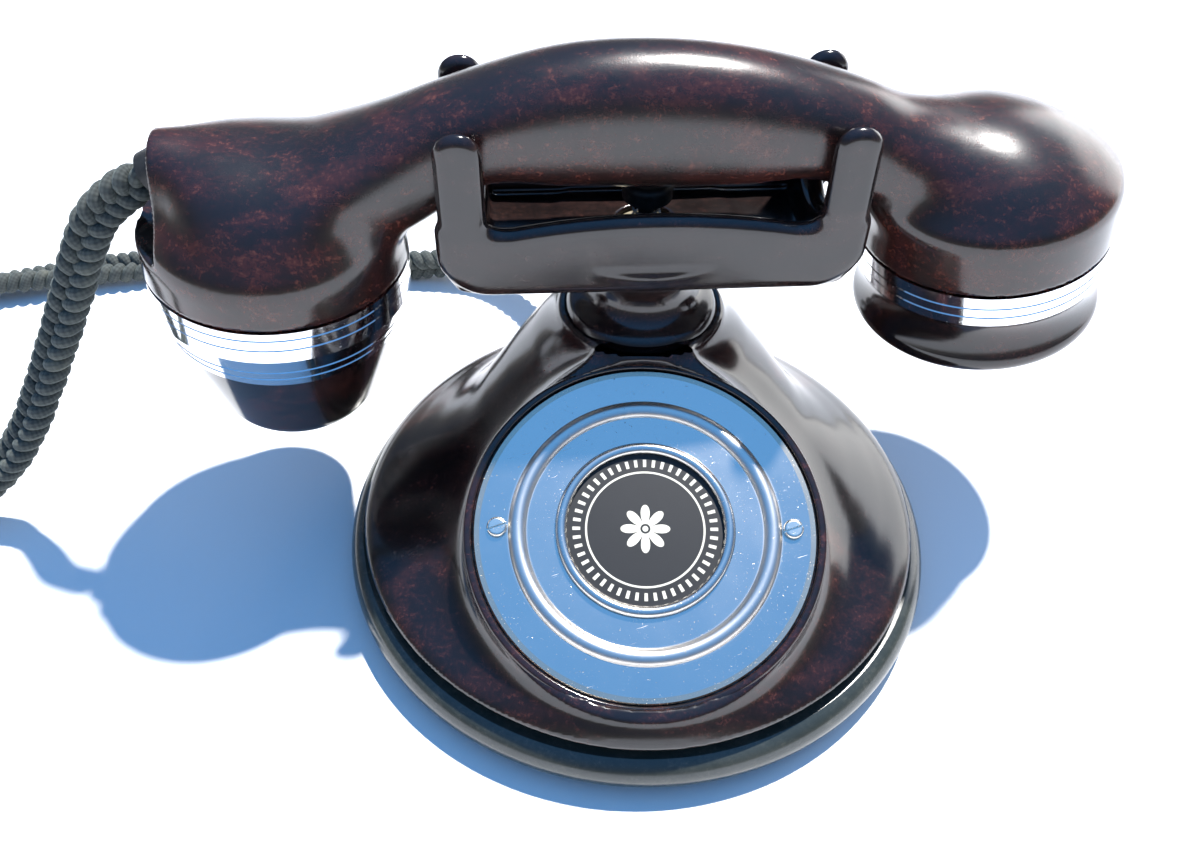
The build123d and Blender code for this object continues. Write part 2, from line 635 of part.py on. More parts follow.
with BuildPart() as cradle_nut:
    with BuildSketch(Plane.XY.offset(WEB_LOW - WASHER_T - 2 * SEAT_GAP)):
        with Locations((0, NECK_Y)):
            RegularPolygon(NUT_R, 6)
            Circle(STUD_R + SEAT_GAP, mode=Mode.SUBTRACT)
    extrude(amount=-NUT_T)
export(cradle_nut.part, "cradle_nut")

# ================================================================== hook switch
GRIP_LOW = GRIP_Z - GRIP_H / 2
BUTTON_TOP = GRIP_LOW - GRIP_FALL - BODY_GAP
BUTTON_LOW = BUTTON_TOP - BUTTON_T
ROD_LOW = LEVER_Z + LEVER_T / 2 + BODY_GAP
with BuildPart() as plunger:
    with Locations((0, NECK_Y, BUTTON_LOW)):
        Cylinder(BUTTON_R, BUTTON_T, align=BOTTOM_UP)
    fillet(plunger.edges().group_by(Axis.Z)[-1], BUTTON_T * 0.35)
    with BuildSketch(Plane.XY.offset(BUTTON_TOP)):
        with Locations((0, NECK_Y)):
            Circle(BUTTON_R * 0.55)
            Circle(BUTTON_R * 0.42, mode=Mode.SUBTRACT)
    extrude(amount=-BUTTON_RING, mode=Mode.SUBTRACT)
    with Locations((0, NECK_Y, BUTTON_LOW)):
        Cylinder(ROD_R, BUTTON_LOW - ROD_LOW, align=TOP_DOWN)
    fillet(plunger.edges().group_by(Axis.Z)[0], ROD_R * 0.6)
export(plunger.part, "plunger")

COIL_LOW = STUD_TOP + SEAT_GAP + SPRING_WIRE
COIL_H = BUTTON_LOW - BODY_GAP - SPRING_WIRE - COIL_LOW
with BuildPart() as plunger_spring:
    with BuildLine(Plane.XY.offset(COIL_LOW)):
        coil = Helix(pitch=COIL_H / 4, height=COIL_H, radius=SPRING_R)
    with BuildSketch(Plane(origin=coil @ 0, z_dir=coil % 0)):
        Circle(SPRING_WIRE / 2)
    sweep(path=coil, is_frenet=True)
export(plunger_spring.part.moved(Location((0, NECK_Y, 0))), "plunger_spring")

PIN_Y = NECK_Y + ARM
PAN_TOP = PAN_Z + PAN_T
FRAME_Z = PAN_TOP + SEAT_GAP
CHEEK_X = LEVER_W / 2 + BODY_GAP * 2
STACK_LOW = LEVER_Z - LEVER_T / 2 - BODY_GAP - LEAVES * LEAF_PITCH
STACK_Y = NECK_Y - LEAF_L - STACK_L / 2
FRAME_FRONT = STACK_Y - STACK_L / 2
FRAME_BACK = PIN_Y - ARM / 2      # the frame's foot ends here; its cheeks rise past the ledge
FRAME_SCREWS = (FRAME_BACK - 2 * HEAD_R, FRAME_FRONT + 2 * HEAD_R)
with BuildPart() as hookswitch_frame:
    for side in (-1, 1):
        with BuildSketch(Plane.YZ.offset(side * CHEEK_X)):
            with BuildLine():
                Polyline(
                    (FRAME_FRONT, FRAME_Z),
                    (FRAME_BACK, FRAME_Z),
                    (PIN_Y + CHEEK_EDGE, LEDGE_TOP + ARM / 2),
                    (PIN_Y + CHEEK_EDGE, LEVER_Z + CHEEK_EDGE),
                    (PIN_Y - CHEEK_EDGE, LEVER_Z + CHEEK_EDGE),
                    (PIN_Y - ARM, STACK_LOW),
                    (FRAME_FRONT, STACK_LOW),
                    close=True,
                )
            make_face()
            with Locations((PIN_Y, LEVER_Z)):
                Circle(PIN_R + SEAT_GAP, mode=Mode.SUBTRACT)
        extrude(amount=side * CHEEK_T)
    for low, back in ((FRAME_Z, FRAME_BACK), (STACK_LOW - CHEEK_T, STACK_Y + STACK_L / 2)):
        with Locations((0, FRAME_FRONT, low)):
            Box(2 * CHEEK_X, back - FRAME_FRONT, CHEEK_T, align=(Align.CENTER, Align.MIN, Align.MIN))
    with Locations((0, FRAME_SCREWS[0], FRAME_Z), (0, FRAME_SCREWS[1], FRAME_Z)):
        Cylinder(SCREW_R + FIT_GAP, 3 * CHEEK_T, mode=Mode.SUBTRACT)
    with Locations((0, STACK_Y, STACK_LOW)):
        with GridLocations(0, 2 * STACK_SCREW_AT, 1, 2):
            Cylinder(STACK_SCREW_R + SEAT_GAP, 3 * CHEEK_T, mode=Mode.SUBTRACT)
export(hookswitch_frame.part, "hookswitch_frame")

with BuildPart() as frame_screws:
    with Locations((0, FRAME_SCREWS[0], FRAME_Z + CHEEK_T + SEAT_GAP),
                   (0, FRAME_SCREWS[1], FRAME_Z + CHEEK_T + SEAT_GAP)):
        Cylinder(HEAD_R, HEAD_T, align=BOTTOM_UP)
        Cylinder(SCREW_R, CHEEK_T + SEAT_GAP * 2, align=TOP_DOWN)
export(frame_screws.part, "frame_screws")

with BuildPart() as hookswitch_lever:
    with BuildSketch(Plane.YZ.offset(-LEVER_W / 2)):
        with Locations((PIN_Y, LEVER_Z)):
            Circle(PIN_R + LEVER_EYE)
        with Locations((PIN_Y - ARM * 0.9, LEVER_Z)):
            Rectangle(ARM * 1.8, LEVER_T)
        with Locations((PIN_Y, LEVER_Z)):
            Circle(PIN_R + SLIDE_GAP, mode=Mode.SUBTRACT)
    extrude(amount=LEVER_W)
export(hookswitch_lever.part, "hookswitch_lever")

with BuildPart() as lever_pin:
    with BuildSketch(Plane.YZ):
        with Locations((PIN_Y, LEVER_Z)):
            Circle(PIN_R)
    extrude(amount=CHEEK_X + 2 * CHEEK_T, both=True)
export(lever_pin.part, "lever_pin")

with BuildPart() as contact_springs:
    for leaf in range(LEAVES):
        z = STACK_LOW + LEAF_PITCH * (leaf + 1) - LEAF_T
        with Locations((0, FRAME_FRONT - LEAF_TAIL, z)):
            Box(LEAF_W, LEAF_L + STACK_L, LEAF_T, align=(Align.CENTER, Align.MIN, Align.MIN))
    with Locations((0, STACK_Y, STACK_LOW)):
        with GridLocations(0, 2 * STACK_SCREW_AT, 1, 2):
            Cylinder(STACK_SCREW_R + SEAT_GAP, 3 * LEAVES * LEAF_PITCH, mode=Mode.SUBTRACT)
export(contact_springs.part, "contact_springs")

with BuildPart() as contact_insulators:
    for leaf in range(LEAVES):
        z = STACK_LOW + LEAF_PITCH * leaf + SEAT_GAP / 2
        with Locations((0, STACK_Y, z)):
            Box(LEAF_W * 1.4, STACK_L * 0.9, LEAF_PITCH - LEAF_T - SEAT_GAP, align=BOTTOM_UP)
    with Locations((0, STACK_Y, STACK_LOW)):
        with GridLocations(0, 2 * STACK_SCREW_AT, 1, 2):
            Cylinder(STACK_SCREW_R + SEAT_GAP, 3 * LEAVES * LEAF_PITCH, mode=Mode.SUBTRACT)
export(contact_insulators.part, "contact_insulators")

STACK_TOP = STACK_LOW + LEAVES * LEAF_PITCH
with BuildPart() as stack_screws:
    with Locations((0, STACK_Y, STACK_TOP + SEAT_GAP)):
        with GridLocations(0, 2 * STACK_SCREW_AT, 1, 2):
            Cylinder(STACK_HEAD_R, STACK_HEAD_T, align=BOTTOM_UP)
            Cylinder(STACK_SCREW_R, STACK_TOP - STACK_LOW + CHEEK_T * 1.5, align=TOP_DOWN)
export(stack_screws.part, "stack_screws")

# ------------------------------------------------------------------ terminals
with BuildPart() as terminal_block:
    with Locations((BLOCK_X, BLOCK_Y, FRAME_Z)):
        Box(BLOCK_W, BLOCK_L, BLOCK_H, align=BOTTOM_UP)
    fillet(terminal_block.edges().filter_by(Axis.Z), BLOCK_ROUND)
    with Locations((BLOCK_X, BLOCK_Y, FRAME_Z + BLOCK_H)):
        with GridLocations(0, TERMINAL_PITCH, 1, TERMINALS):
            Hole(SCREW_R + SEAT_GAP, BLOCK_H * 0.7)
export(terminal_block.part, "terminal_block")

with BuildPart() as terminal_screws:
    with Locations((BLOCK_X, BLOCK_Y, FRAME_Z + BLOCK_H + SEAT_GAP)):
        with GridLocations(0, TERMINAL_PITCH, 1, TERMINALS):
            Cylinder(HEAD_R, HEAD_T, align=BOTTOM_UP)
            Cylinder(SCREW_R, BLOCK_H * 0.6, align=TOP_DOWN)
export(terminal_screws.part, "terminal_screws")

with BuildPart() as base_leads:
    for wire in range(3):
        y = BLOCK_Y + (wire - 1.5) * TERMINAL_PITCH
        start = (BLOCK_X + HEAD_R + BODY_GAP, y, FRAME_Z + BLOCK_H + WIRE_R + SEAT_GAP)
        turn_x = wire * LEAD_STEP - LEAD_TURN_X
        leaf_z = STACK_LOW + LEAF_PITCH * (wire + 1) - LEAF_T / 2
        tail_y = FRAME_FRONT - LEAF_TAIL * 0.8
        end = (-LEAF_W / 2 - SEAT_GAP, tail_y, leaf_z)
        with BuildLine():
            route = FilletPolyline(
                start,
                (turn_x, y, start[2]),
                (turn_x, tail_y, leaf_z),
                end,
                radius=LEAD_BEND,
            )
        with BuildSketch(Plane(origin=route @ 0, z_dir=route % 0)):
            Circle(WIRE_R * 0.8)
        sweep(path=route)
export(base_leads.part, "base_leads")

# ================================================================== handset
def cup_plane(x, z, cant):
    """Plane of a cup's rim: its axis points up into the cup."""
    lean = radians(cant)
    return Plane(origin=(x, NECK_Y, z), x_dir=(cos(lean), 0, sin(lean)),
                 z_dir=(-sin(lean), 0, cos(lean)))


TX_PLANE = cup_plane(TX_X, TX_Z, TX_CANT)
RX_PLANE = cup_plane(RX_X, RX_Z, RX_CANT)
SLOPE = radians(GLAND_SLOPE)
GLAND_PLANE = Plane(origin=(END_X, NECK_Y, GLAND_Z), x_dir=(0, 1, 0),
                    z_dir=(-cos(SLOPE), 0, -sin(SLOPE)))
# x, centre below the grip's centre line, half height and half width of the cross-sections
GRIP_SECTIONS = [
    (END_X, 15.1, 11.5, 10.0),
    (TX_X - 10, 18.6, 13.5, 19.0),
    (TX_X + 5, 20.4, 14.3, 22.0),
    (TX_X + 19, 16.8, 14.5, 19.5),
    (TX_X + 30, 11.7, 14.3, 15.8),
    (TX_X + 39, 7.2, 13.6, 13.8),
    (TX_X + 47, 2.8, 11.8, GRIP_W / 2),
    (-20, 0.1, 14.7, GRIP_W / 2),
    (0, 0, GRIP_H / 2, GRIP_W / 2),
    (20, 0.9, 14.6, GRIP_W / 2),
    (RX_X - 42, 4.0, 11.8, GRIP_W / 2),
    (RX_X - 34, 8.4, 13.4, 13.8),
    (RX_X - 25, 12.8, 13.8, 16.0),
    (RX_X - 12, 15.6, 14.2, 19.5),
    (RX_X, 16.4, 13.0, 22.0),
]
TX_HOLLOW = TX_R - CUP_WALL
RX_HOLLOW = RX_R - CUP_WALL
TUNNEL = ((TX_X + 13, TX_Z + 5.0), (0, GRIP_Z), (RX_X - 13, RX_Z + 8.2))

LEAD_LOW = TX_Z + TX_DEPTH - LEAD_HOLE
LEAD_L = GLAND_Z - GLAND_OUT - LEAD_LOW    # it opens into the bushing's seat

with BuildPart() as handset_handle:
    for x, drop, half_h, half_w in GRIP_SECTIONS:
        with BuildSketch(Plane.YZ.offset(x)):
            with Locations((NECK_Y, GRIP_Z - drop)):
                Ellipse(half_w, half_h)
    loft()
    for plane, radius, wall, rise in ((TX_PLANE, TX_R, TX_WALL_H, TX_DOME),
                                      (RX_PLANE, RX_R, RX_WALL_H, RX_DOME)):
        ball = (radius ** 2 + rise ** 2) / (2 * rise)
        lean = asin(radius / ball) / 2
        halfway = (ball * sin(lean), wall + rise - ball * (1 - cos(lean)))
        with BuildSketch(section(plane)):
            with BuildLine():
                Polyline((0, wall + rise), (0, 0), (radius, 0), (radius, wall))
                ThreePointArc((radius, wall), halfway, (0, wall + rise))
            make_face()
        revolve(axis=axis_of(plane))
    with Locations((END_X, NECK_Y, END_LOW)):
        Box(2 * TX_R, 2 * TX_R, 2 * TX_R, align=(Align.MAX, Align.CENTER, Align.MIN),
            mode=Mode.SUBTRACT)
    for plane, hollow, depth in ((TX_PLANE, TX_HOLLOW, TX_DEPTH), (RX_PLANE, RX_HOLLOW, RX_DEPTH)):
        with BuildSketch(plane.offset(-CUP_TRIM)):
            Circle(hollow)
        extrude(amount=CUP_TRIM + depth, mode=Mode.SUBTRACT)
    with BuildLine(CRADLE_MID):
        bore = ThreePointArc(*TUNNEL)
    with BuildSketch(Plane(origin=bore @ 0, z_dir=bore % 0)):
        Circle(TUNNEL_R)
    sweep(path=bore, mode=Mode.SUBTRACT)
    with BuildSketch(GLAND_PLANE.offset(2 * GLAND_R)):
        Circle(GLAND_R + FIT_GAP)
    extrude(amount=-GLAND_DEPTH - 2 * GLAND_R, mode=Mode.SUBTRACT)
    with Locations((LEAD_X, NECK_Y, LEAD_LOW)):
        Cylinder(LEAD_HOLE, LEAD_L, align=BOTTOM_UP, mode=Mode.SUBTRACT)
export_turned(handset_handle.part, "handset_handle")

with BuildPart() as cord_gland:
    with BuildSketch(GLAND_PLANE.offset(GLAND_OUT)):
        Circle(GLAND_R)
        Circle(LEAD_HOLE, mode=Mode.SUBTRACT)
    extrude(amount=-GLAND_OUT - GLAND_DEPTH + GLAND_ROOM)
export_turned(cord_gland.part, "cord_gland")


def notched(top, bottom, lines):
    """Points down a band's outside from top to bottom, with an engraved line at each share."""
    points = [top]
    for share in lines:
        r = top[0] + (bottom[0] - top[0]) * share
        z = top[1] + (bottom[1] - top[1]) * share
        points += [(r, z + ENGRAVE), (r - ENGRAVE, z), (r, z - ENGRAVE)]
    return points + [bottom]


TX_BORE = TX_R - TX_TAPER - BAND_WALL
RX_BORE = RX_HOLLOW - FIT_GAP - BAND_WALL
with BuildPart() as transmitter_band:
    with BuildSketch(section(TX_PLANE)):
        with BuildLine():
            upright = notched((TX_R, -GAP_LINE), (TX_R, -TX_UPRIGHT), (0.24, 0.58))
            outside = upright[:-1] + notched((TX_R, -TX_UPRIGHT), (TX_R - TX_TAPER, -TX_BAND_H),
                                             (0.45, 0.74))
            Polyline((TX_HOLLOW - FIT_GAP, BAND_LIP), (TX_HOLLOW - FIT_GAP, -GAP_LINE), *outside,
                     (TX_BORE, -TX_BAND_H), (TX_BORE, BAND_LIP), close=True)
        make_face()
    revolve(axis=axis_of(TX_PLANE))
export_turned(transmitter_band.part, "transmitter_band")

with BuildPart() as receiver_band:
    with BuildSketch(section(RX_PLANE)):
        with BuildLine():
            outside = notched((RX_R, -GAP_LINE), (RX_R - RX_TAPER, -RX_BAND_H), (0.38, 0.7))
            Polyline((RX_HOLLOW - FIT_GAP, BAND_LIP), (RX_HOLLOW - FIT_GAP, -GAP_LINE), *outside,
                     (RX_BORE, -RX_BAND_H), (RX_BORE, BAND_LIP), close=True)
        make_face()
    revolve(axis=axis_of(RX_PLANE))
export_turned(receiver_band.part, "receiver_band")

MOUTH_TOP = -TX_BAND_H - SEAT_GAP
MOUTH_LOW = MOUTH_TOP - MOUTH_H
with BuildPart() as mouthpiece:
    with BuildSketch(section(TX_PLANE)) as mouth_profile:
        with BuildLine():
            Polyline((0, MOUTH_LOW), (0, MOUTH_LOW + SHELL), (MOUTH_R * 0.7, MOUTH_LOW + SHELL),
                     (TX_BORE - FIT_GAP - SHELL, MOUTH_TOP),
                     (TX_BORE - FIT_GAP - SHELL, MOUTH_TOP + SPIGOT),
                     (TX_BORE - FIT_GAP, MOUTH_TOP + SPIGOT), (TX_BORE - FIT_GAP, MOUTH_TOP),
                     (TX_R - TX_TAPER - ENGRAVE, MOUTH_TOP), (MOUTH_R, MOUTH_LOW), close=True)
        make_face()
        fillet(mouth_profile.vertices().sort_by_distance((MOUTH_R, MOUTH_LOW))[0], MOUTH_ROUND)
    revolve(axis=axis_of(TX_PLANE))
    with BuildSketch(TX_PLANE.offset(MOUTH_LOW)):
        Circle(HOLE_R)
        with PolarLocations(HOLE_RING, 6):
            Circle(HOLE_R)
        with PolarLocations(2 * HOLE_RING, 12):
            Circle(HOLE_R)
    extrude(amount=SHELL, mode=Mode.SUBTRACT)
export_turned(mouthpiece.part, "mouthpiece")

CAPSULE_Z = MOUTH_TOP + SPIGOT + SEAT_GAP
with BuildPart() as transmitter_capsule:
    for radius, reach in ((TX_BORE - FIT_GAP, CAPSULE_RIM), (TX_BORE * 0.68, CAPSULE_H),
                          (CAPSULE_PIN_R, CAPSULE_H + CAPSULE_PIN)):
        with BuildSketch(TX_PLANE.offset(CAPSULE_Z)):
            Circle(radius)
        extrude(amount=reach)
export_turned(transmitter_capsule.part, "transmitter_capsule")

with BuildPart() as transmitter_contacts:
    for side in (-1, 1):
        with BuildSketch(TX_PLANE.offset(TX_DEPTH - SEAT_GAP)):
            with Locations((0, side * CONTACT_AT)):
                Rectangle(CONTACT_W, CONTACT_L)
        extrude(amount=-LEAF_T)
        with BuildSketch(TX_PLANE.offset(TX_DEPTH - SEAT_GAP)):
            with Locations((0, side * CONTACT_AT)):
                Rectangle(CONTACT_W, LEAF_T)
        extrude(amount=-(TX_DEPTH - CAPSULE_Z - CAPSULE_H - 2 * SEAT_GAP))
export_turned(transmitter_contacts.part, "transmitter_contacts")

CAP_TOP = -RX_BAND_H - SEAT_GAP
CAP_FLOOR = CAP_TOP - CAP_H * 0.72
with BuildPart() as receiver_cap:
    with BuildSketch(section(RX_PLANE)):
        with BuildLine():
            rim = (RX_R - RX_TAPER - ENGRAVE, CAP_TOP)
            waist = (RX_R - CAP_WAIST, CAP_TOP - CAP_H * 0.35)
            flare = (RX_R - ENGRAVE, CAP_TOP - CAP_H * 0.7)
            edge = (RX_R - CAP_WAIST, CAP_TOP - CAP_H)
            ThreePointArc(rim, waist, flare)
            ThreePointArc(flare, (RX_R, CAP_TOP - CAP_H * 0.87), edge)
            Polyline(edge, (2 * HOLE_RING, CAP_FLOOR), (0, CAP_FLOOR), (0, CAP_FLOOR + SHELL),
                     (2 * HOLE_RING, CAP_FLOOR + SHELL), (RX_BORE - SHELL, CAP_TOP - CAP_H * 0.4),
                     (RX_BORE - SHELL, CAP_TOP + SPIGOT), (RX_BORE - FIT_GAP, CAP_TOP + SPIGOT),
                     (RX_BORE - FIT_GAP, CAP_TOP), rim)
        make_face()
    revolve(axis=axis_of(RX_PLANE))
    with BuildSketch(RX_PLANE.offset(CAP_FLOOR)):
        Circle(HOLE_R)
        with PolarLocations(HOLE_RING, 6):
            Circle(HOLE_R)
    extrude(amount=SHELL, mode=Mode.SUBTRACT)
export_turned(receiver_cap.part, "receiver_cap")

DISC_Z = CAP_TOP + SPIGOT + SEAT_GAP
with BuildPart() as receiver_diaphragm:
    with BuildSketch(RX_PLANE.offset(DISC_Z)):
        Circle(RX_BORE - FIT_GAP)
    extrude(amount=LEAF_T)
export_turned(receiver_diaphragm.part, "receiver_diaphragm")

POLE_LOW = DISC_Z + LEAF_T + BODY_GAP
with BuildPart() as receiver_frame:
    with BuildSketch(RX_PLANE.offset(BAND_LIP + SEAT_GAP)):
        Circle(RX_HOLLOW - FIT_GAP)
    extrude(amount=FRAME_T)
    with BuildSketch(RX_PLANE.offset(POLE_LOW)):
        with Locations((0, -POLE_Y), (0, POLE_Y)):
            Circle(POLE_R)
    extrude(amount=BAND_LIP + FRAME_T - POLE_LOW)
export_turned(receiver_frame.part, "receiver_frame")

with BuildPart() as receiver_coils:
    with BuildSketch(RX_PLANE.offset(POLE_LOW + COIL_LIFT)):
        with Locations((0, -POLE_Y), (0, POLE_Y)):
            Circle(COIL_R)
            Circle(POLE_R + FIT_GAP, mode=Mode.SUBTRACT)
    extrude(amount=BAND_LIP - POLE_LOW - COIL_LIFT)
export_turned(receiver_coils.part, "receiver_coils")

with BuildPart() as receiver_magnet:
    with BuildSketch(RX_PLANE.offset(BAND_LIP + FRAME_T + 2 * SEAT_GAP)):
        Rectangle(MAGNET_W, MAGNET_L)
    extrude(amount=MAGNET_T)
    fillet(receiver_magnet.edges().filter_by(axis_of(RX_PLANE)), MAGNET_ROUND)
export_turned(receiver_magnet.part, "receiver_magnet")

with BuildPart() as handset_leads:
    for side in (-1, 1):
        with BuildLine(CRADLE_MID.offset(side * WIRE_R * 1.5)):
            lead = ThreePointArc(*TUNNEL)
        with BuildSketch(Plane(origin=lead @ 0, z_dir=lead % 0)):
            Circle(WIRE_R)
        sweep(path=lead)
        with Locations((LEAD_X, NECK_Y + side * (LEAD_R + SEAT_GAP), LEAD_LOW)):
            Cylinder(LEAD_R, LEAD_L, align=BOTTOM_UP)
export_turned(handset_leads.part, "handset_leads")

# ================================================================== cord
TURN = radians(CRADLE_TURN)
FACE_X = END_X - (GLAND_OUT + BODY_GAP) * cos(SLOPE)
CORD_START = (FACE_X * cos(TURN), NECK_Y + FACE_X * sin(TURN),
              GLAND_Z - (GLAND_OUT + BODY_GAP) * sin(SLOPE))
CORD_LEAD = (CORD_START[0] - CORD_OUT * cos(SLOPE) * cos(TURN),
             CORD_START[1] - CORD_OUT * cos(SLOPE) * sin(TURN),
             CORD_START[2] - CORD_OUT * sin(SLOPE))
CORD_END = (-INLET_X, INLET_Y + BUSH_OUT + SEAT_GAP, INLET_Z)
cord_points = [Vector(*point) for point in [CORD_START, CORD_LEAD] + CORD_ROUTE + [CORD_END]]
cord_radii = []
for before, here, after in zip(cord_points, cord_points[1:], cord_points[2:]):
    turn = radians((here - before).get_angle(after - here))
    shorter = min((here - before).length, (after - here).length)
    cord_radii.append(0.45 * shorter / tan(turn / 2))
print("cord radii", [round(radius, 1) for radius in cord_radii])
with BuildPart() as handset_cord:
    with BuildLine():
        cord_line = FilletPolyline(*cord_points, radius=cord_radii)
    with BuildSketch(Plane(origin=cord_line @ 0, z_dir=cord_line % 0)):
        Circle(CORD_D / 2)
    sweep(path=cord_line)
print("cord length", cord_line.length)
export(handset_cord.part, "handset_cord")
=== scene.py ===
"""Finish of the desk telephone: smooth mouldings, plaited cord, plating and light."""
import math

import bpy
import numpy as np
from mathutils import Matrix, Vector


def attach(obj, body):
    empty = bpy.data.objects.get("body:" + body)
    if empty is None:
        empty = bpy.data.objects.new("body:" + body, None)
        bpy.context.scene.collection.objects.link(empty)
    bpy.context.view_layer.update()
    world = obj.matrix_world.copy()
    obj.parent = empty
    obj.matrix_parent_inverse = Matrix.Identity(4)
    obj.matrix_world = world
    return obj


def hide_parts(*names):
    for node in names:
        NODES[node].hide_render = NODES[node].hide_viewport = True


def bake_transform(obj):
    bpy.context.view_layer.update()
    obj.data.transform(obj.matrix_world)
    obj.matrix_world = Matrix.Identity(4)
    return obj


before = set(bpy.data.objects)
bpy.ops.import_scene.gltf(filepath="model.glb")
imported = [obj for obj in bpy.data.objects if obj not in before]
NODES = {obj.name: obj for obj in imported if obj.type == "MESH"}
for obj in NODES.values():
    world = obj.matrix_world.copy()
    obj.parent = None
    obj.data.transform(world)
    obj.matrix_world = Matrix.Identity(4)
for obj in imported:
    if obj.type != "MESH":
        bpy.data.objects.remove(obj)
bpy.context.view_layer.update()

MM = 0.001
NECK_Y = 32.3
RIM_Z = 14.5
HANDSET_TURN = math.radians(3.4)
MOUNT_TILT = math.radians(23.2)
MOUNT_AT = (-28.1052, 37.8181)


# ---------------------------------------------------------------- camera
def place_camera():
    """The viewpoint: above and in front, turned slightly to the right."""
    data = bpy.data.cameras.new("camera")
    data.sensor_width = 36
    data.lens = 33
    data.clip_start = 0.01
    camera = bpy.data.objects.new("camera", data)
    bpy.context.scene.collection.objects.link(camera)
    right = (0.99980143, -0.00544992, 0.01916783)
    up = (-0.00941044, 0.71874466, 0.69521044)
    back = (-0.01756561, -0.69525277, 0.71855065)
    place = (-0.0153232, -0.1890927, 0.2388170)
    camera.matrix_world = Matrix(
        [(*row, at) for row, at in zip(zip(right, up, back), place)] + [(0, 0, 0, 1)]
    )
    bpy.context.scene.camera = camera


# ---------------------------------------------------------------- mesh helpers
def new_piece(name, points, faces, body=None):
    """A smooth-shaded piece from points in metres, riding on a body when one is named."""
    mesh = bpy.data.meshes.new(name)
    points = np.asarray(points, np.float32)
    faces = np.asarray(faces, np.int32)
    mesh.vertices.add(len(points))
    mesh.vertices.foreach_set("co", points.ravel())
    sides = faces.shape[1]
    mesh.loops.add(faces.size)
    mesh.loops.foreach_set("vertex_index", faces.ravel())
    mesh.polygons.add(len(faces))
    mesh.polygons.foreach_set("loop_start", np.arange(len(faces), dtype=np.int32) * sides)
    mesh.polygons.foreach_set("use_smooth", np.full(len(faces), True))
    mesh.update(calc_edges=True)
    mesh.validate()
    piece = bpy.data.objects.new(name, mesh)
    bpy.context.scene.collection.objects.link(piece)
    if body:
        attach(piece, body)
    return piece


def round_min(a, b, r):
    """Union of two forms with a fillet of about r where they meet."""
    mix = np.clip(0.5 + 0.5 * (b - a) / r, 0, 1)
    return b * (1 - mix) + a * mix - r * mix * (1 - mix)


def round_max(a, b, r):
    """Intersection of two forms with its edge rounded by about r."""
    return -round_min(-a, -b, r)


def smooth_table(stations, step=0.25):
    """Cubic curves through rows of (x, value, ...); returns one lookup per value."""
    rows = np.array(stations, float)
    x = rows[:, 0]
    fine = np.arange(x[0], x[-1] + step, step)
    cell = np.clip(np.searchsorted(x, fine, side="right") - 1, 0, len(x) - 2)
    width = x[cell + 1] - x[cell]
    t = (fine - x[cell]) / width
    lookups = []
    for column in rows[:, 1:].T:
        slope = np.gradient(column, x)
        value = (
            (2 * t**3 - 3 * t**2 + 1) * column[cell]
            + (t**3 - 2 * t**2 + t) * width * slope[cell]
            + (3 * t**2 - 2 * t**3) * column[cell + 1]
            + (t**3 - t**2) * width * slope[cell + 1]
        )
        lookups.append(lambda at, value=value: np.interp(at, fine, value))
    return lookups


CORNERS = np.array([(i, j, k) for i in (0, 1) for j in (0, 1) for k in (0, 1)])
CELL_EDGES = [
    (a, b) for a in CORNERS for b in CORNERS if (b - a).min() >= 0 and (b - a).sum() == 1
]


def crossed_cells(inside):
    """The cells of the grid that the surface passes through, and the number of each."""
    size = np.array(inside.shape) - 1
    filled = sum(
        inside[i : size[0] + i, j : size[1] + j, k : size[2] + k].astype(np.int8)
        for i, j, k in CORNERS
    )
    active = (filled > 0) & (filled < len(CORNERS))
    index = np.full(active.shape, -1)
    cells = np.argwhere(active)
    index[active] = np.arange(len(cells))
    return cells, index


def cell_points(values, cells):
    """The middle of the surface's crossings in each cell, in cells."""
    total = np.zeros((len(cells), 3))
    hits = np.zeros((len(cells), 1))
    for a, b in CELL_EDGES:
        near = values[tuple((cells + a).T)]
        far = values[tuple((cells + b).T)]
        cross = ((near < 0) != (far < 0))[:, None]
        share = (near / np.where(near == far, 1, near - far))[:, None]
        total += np.where(cross, a + share * (b - a), 0)
        hits += cross
    return cells + total / hits


def outward_faces(inside, index):
    """One quad round each edge of the grid that crosses the surface, facing out."""
    size = np.array(index.shape)
    faces = []
    for axis in range(3):
        one, two = [other for other in range(3) if other != axis]
        ahead = [slice(None)] * 3
        behind = [slice(None)] * 3
        ahead[axis] = slice(1, None)
        behind[axis] = slice(None, -1)
        start = inside[tuple(behind)]
        change = np.argwhere(start != inside[tuple(ahead)])
        change = change[(change[:, one] > 0) & (change[:, two] > 0)]
        change = change[(change[:, one] < size[one]) & (change[:, two] < size[two])]
        ring = []
        for back_one, back_two in ((0, 0), (1, 0), (1, 1), (0, 1)):
            at = change.copy()
            at[:, one] -= back_one
            at[:, two] -= back_two
            ring.append(index[tuple(at.T)])
        quads = np.stack(ring, 1)
        outward = start[tuple(change.T)] == (axis != 1)
        quads[~outward] = quads[~outward][:, ::-1]
        faces.append(quads)
    return np.concatenate(faces)


def drawn_to_surface(points, form, furthest, rounds=3, reach=0.1, least_slope=0.05):
    """Points moved along the form's slope onto its surface, a short way each round."""
    for _ in range(rounds):
        value = form(*points.T)
        slope = np.stack(
            [
                (form(*(points + push).T) - form(*(points - push).T)) / (2 * reach)
                for push in np.eye(3) * reach
            ],
            1,
        )
        steep = np.maximum((slope**2).sum(1), least_slope)
        move = slope * (value / steep)[:, None]
        far = np.linalg.norm(move, axis=1, keepdims=True)
        points = points - move * np.minimum(1, furthest / np.maximum(far, 1e-9))
    return points


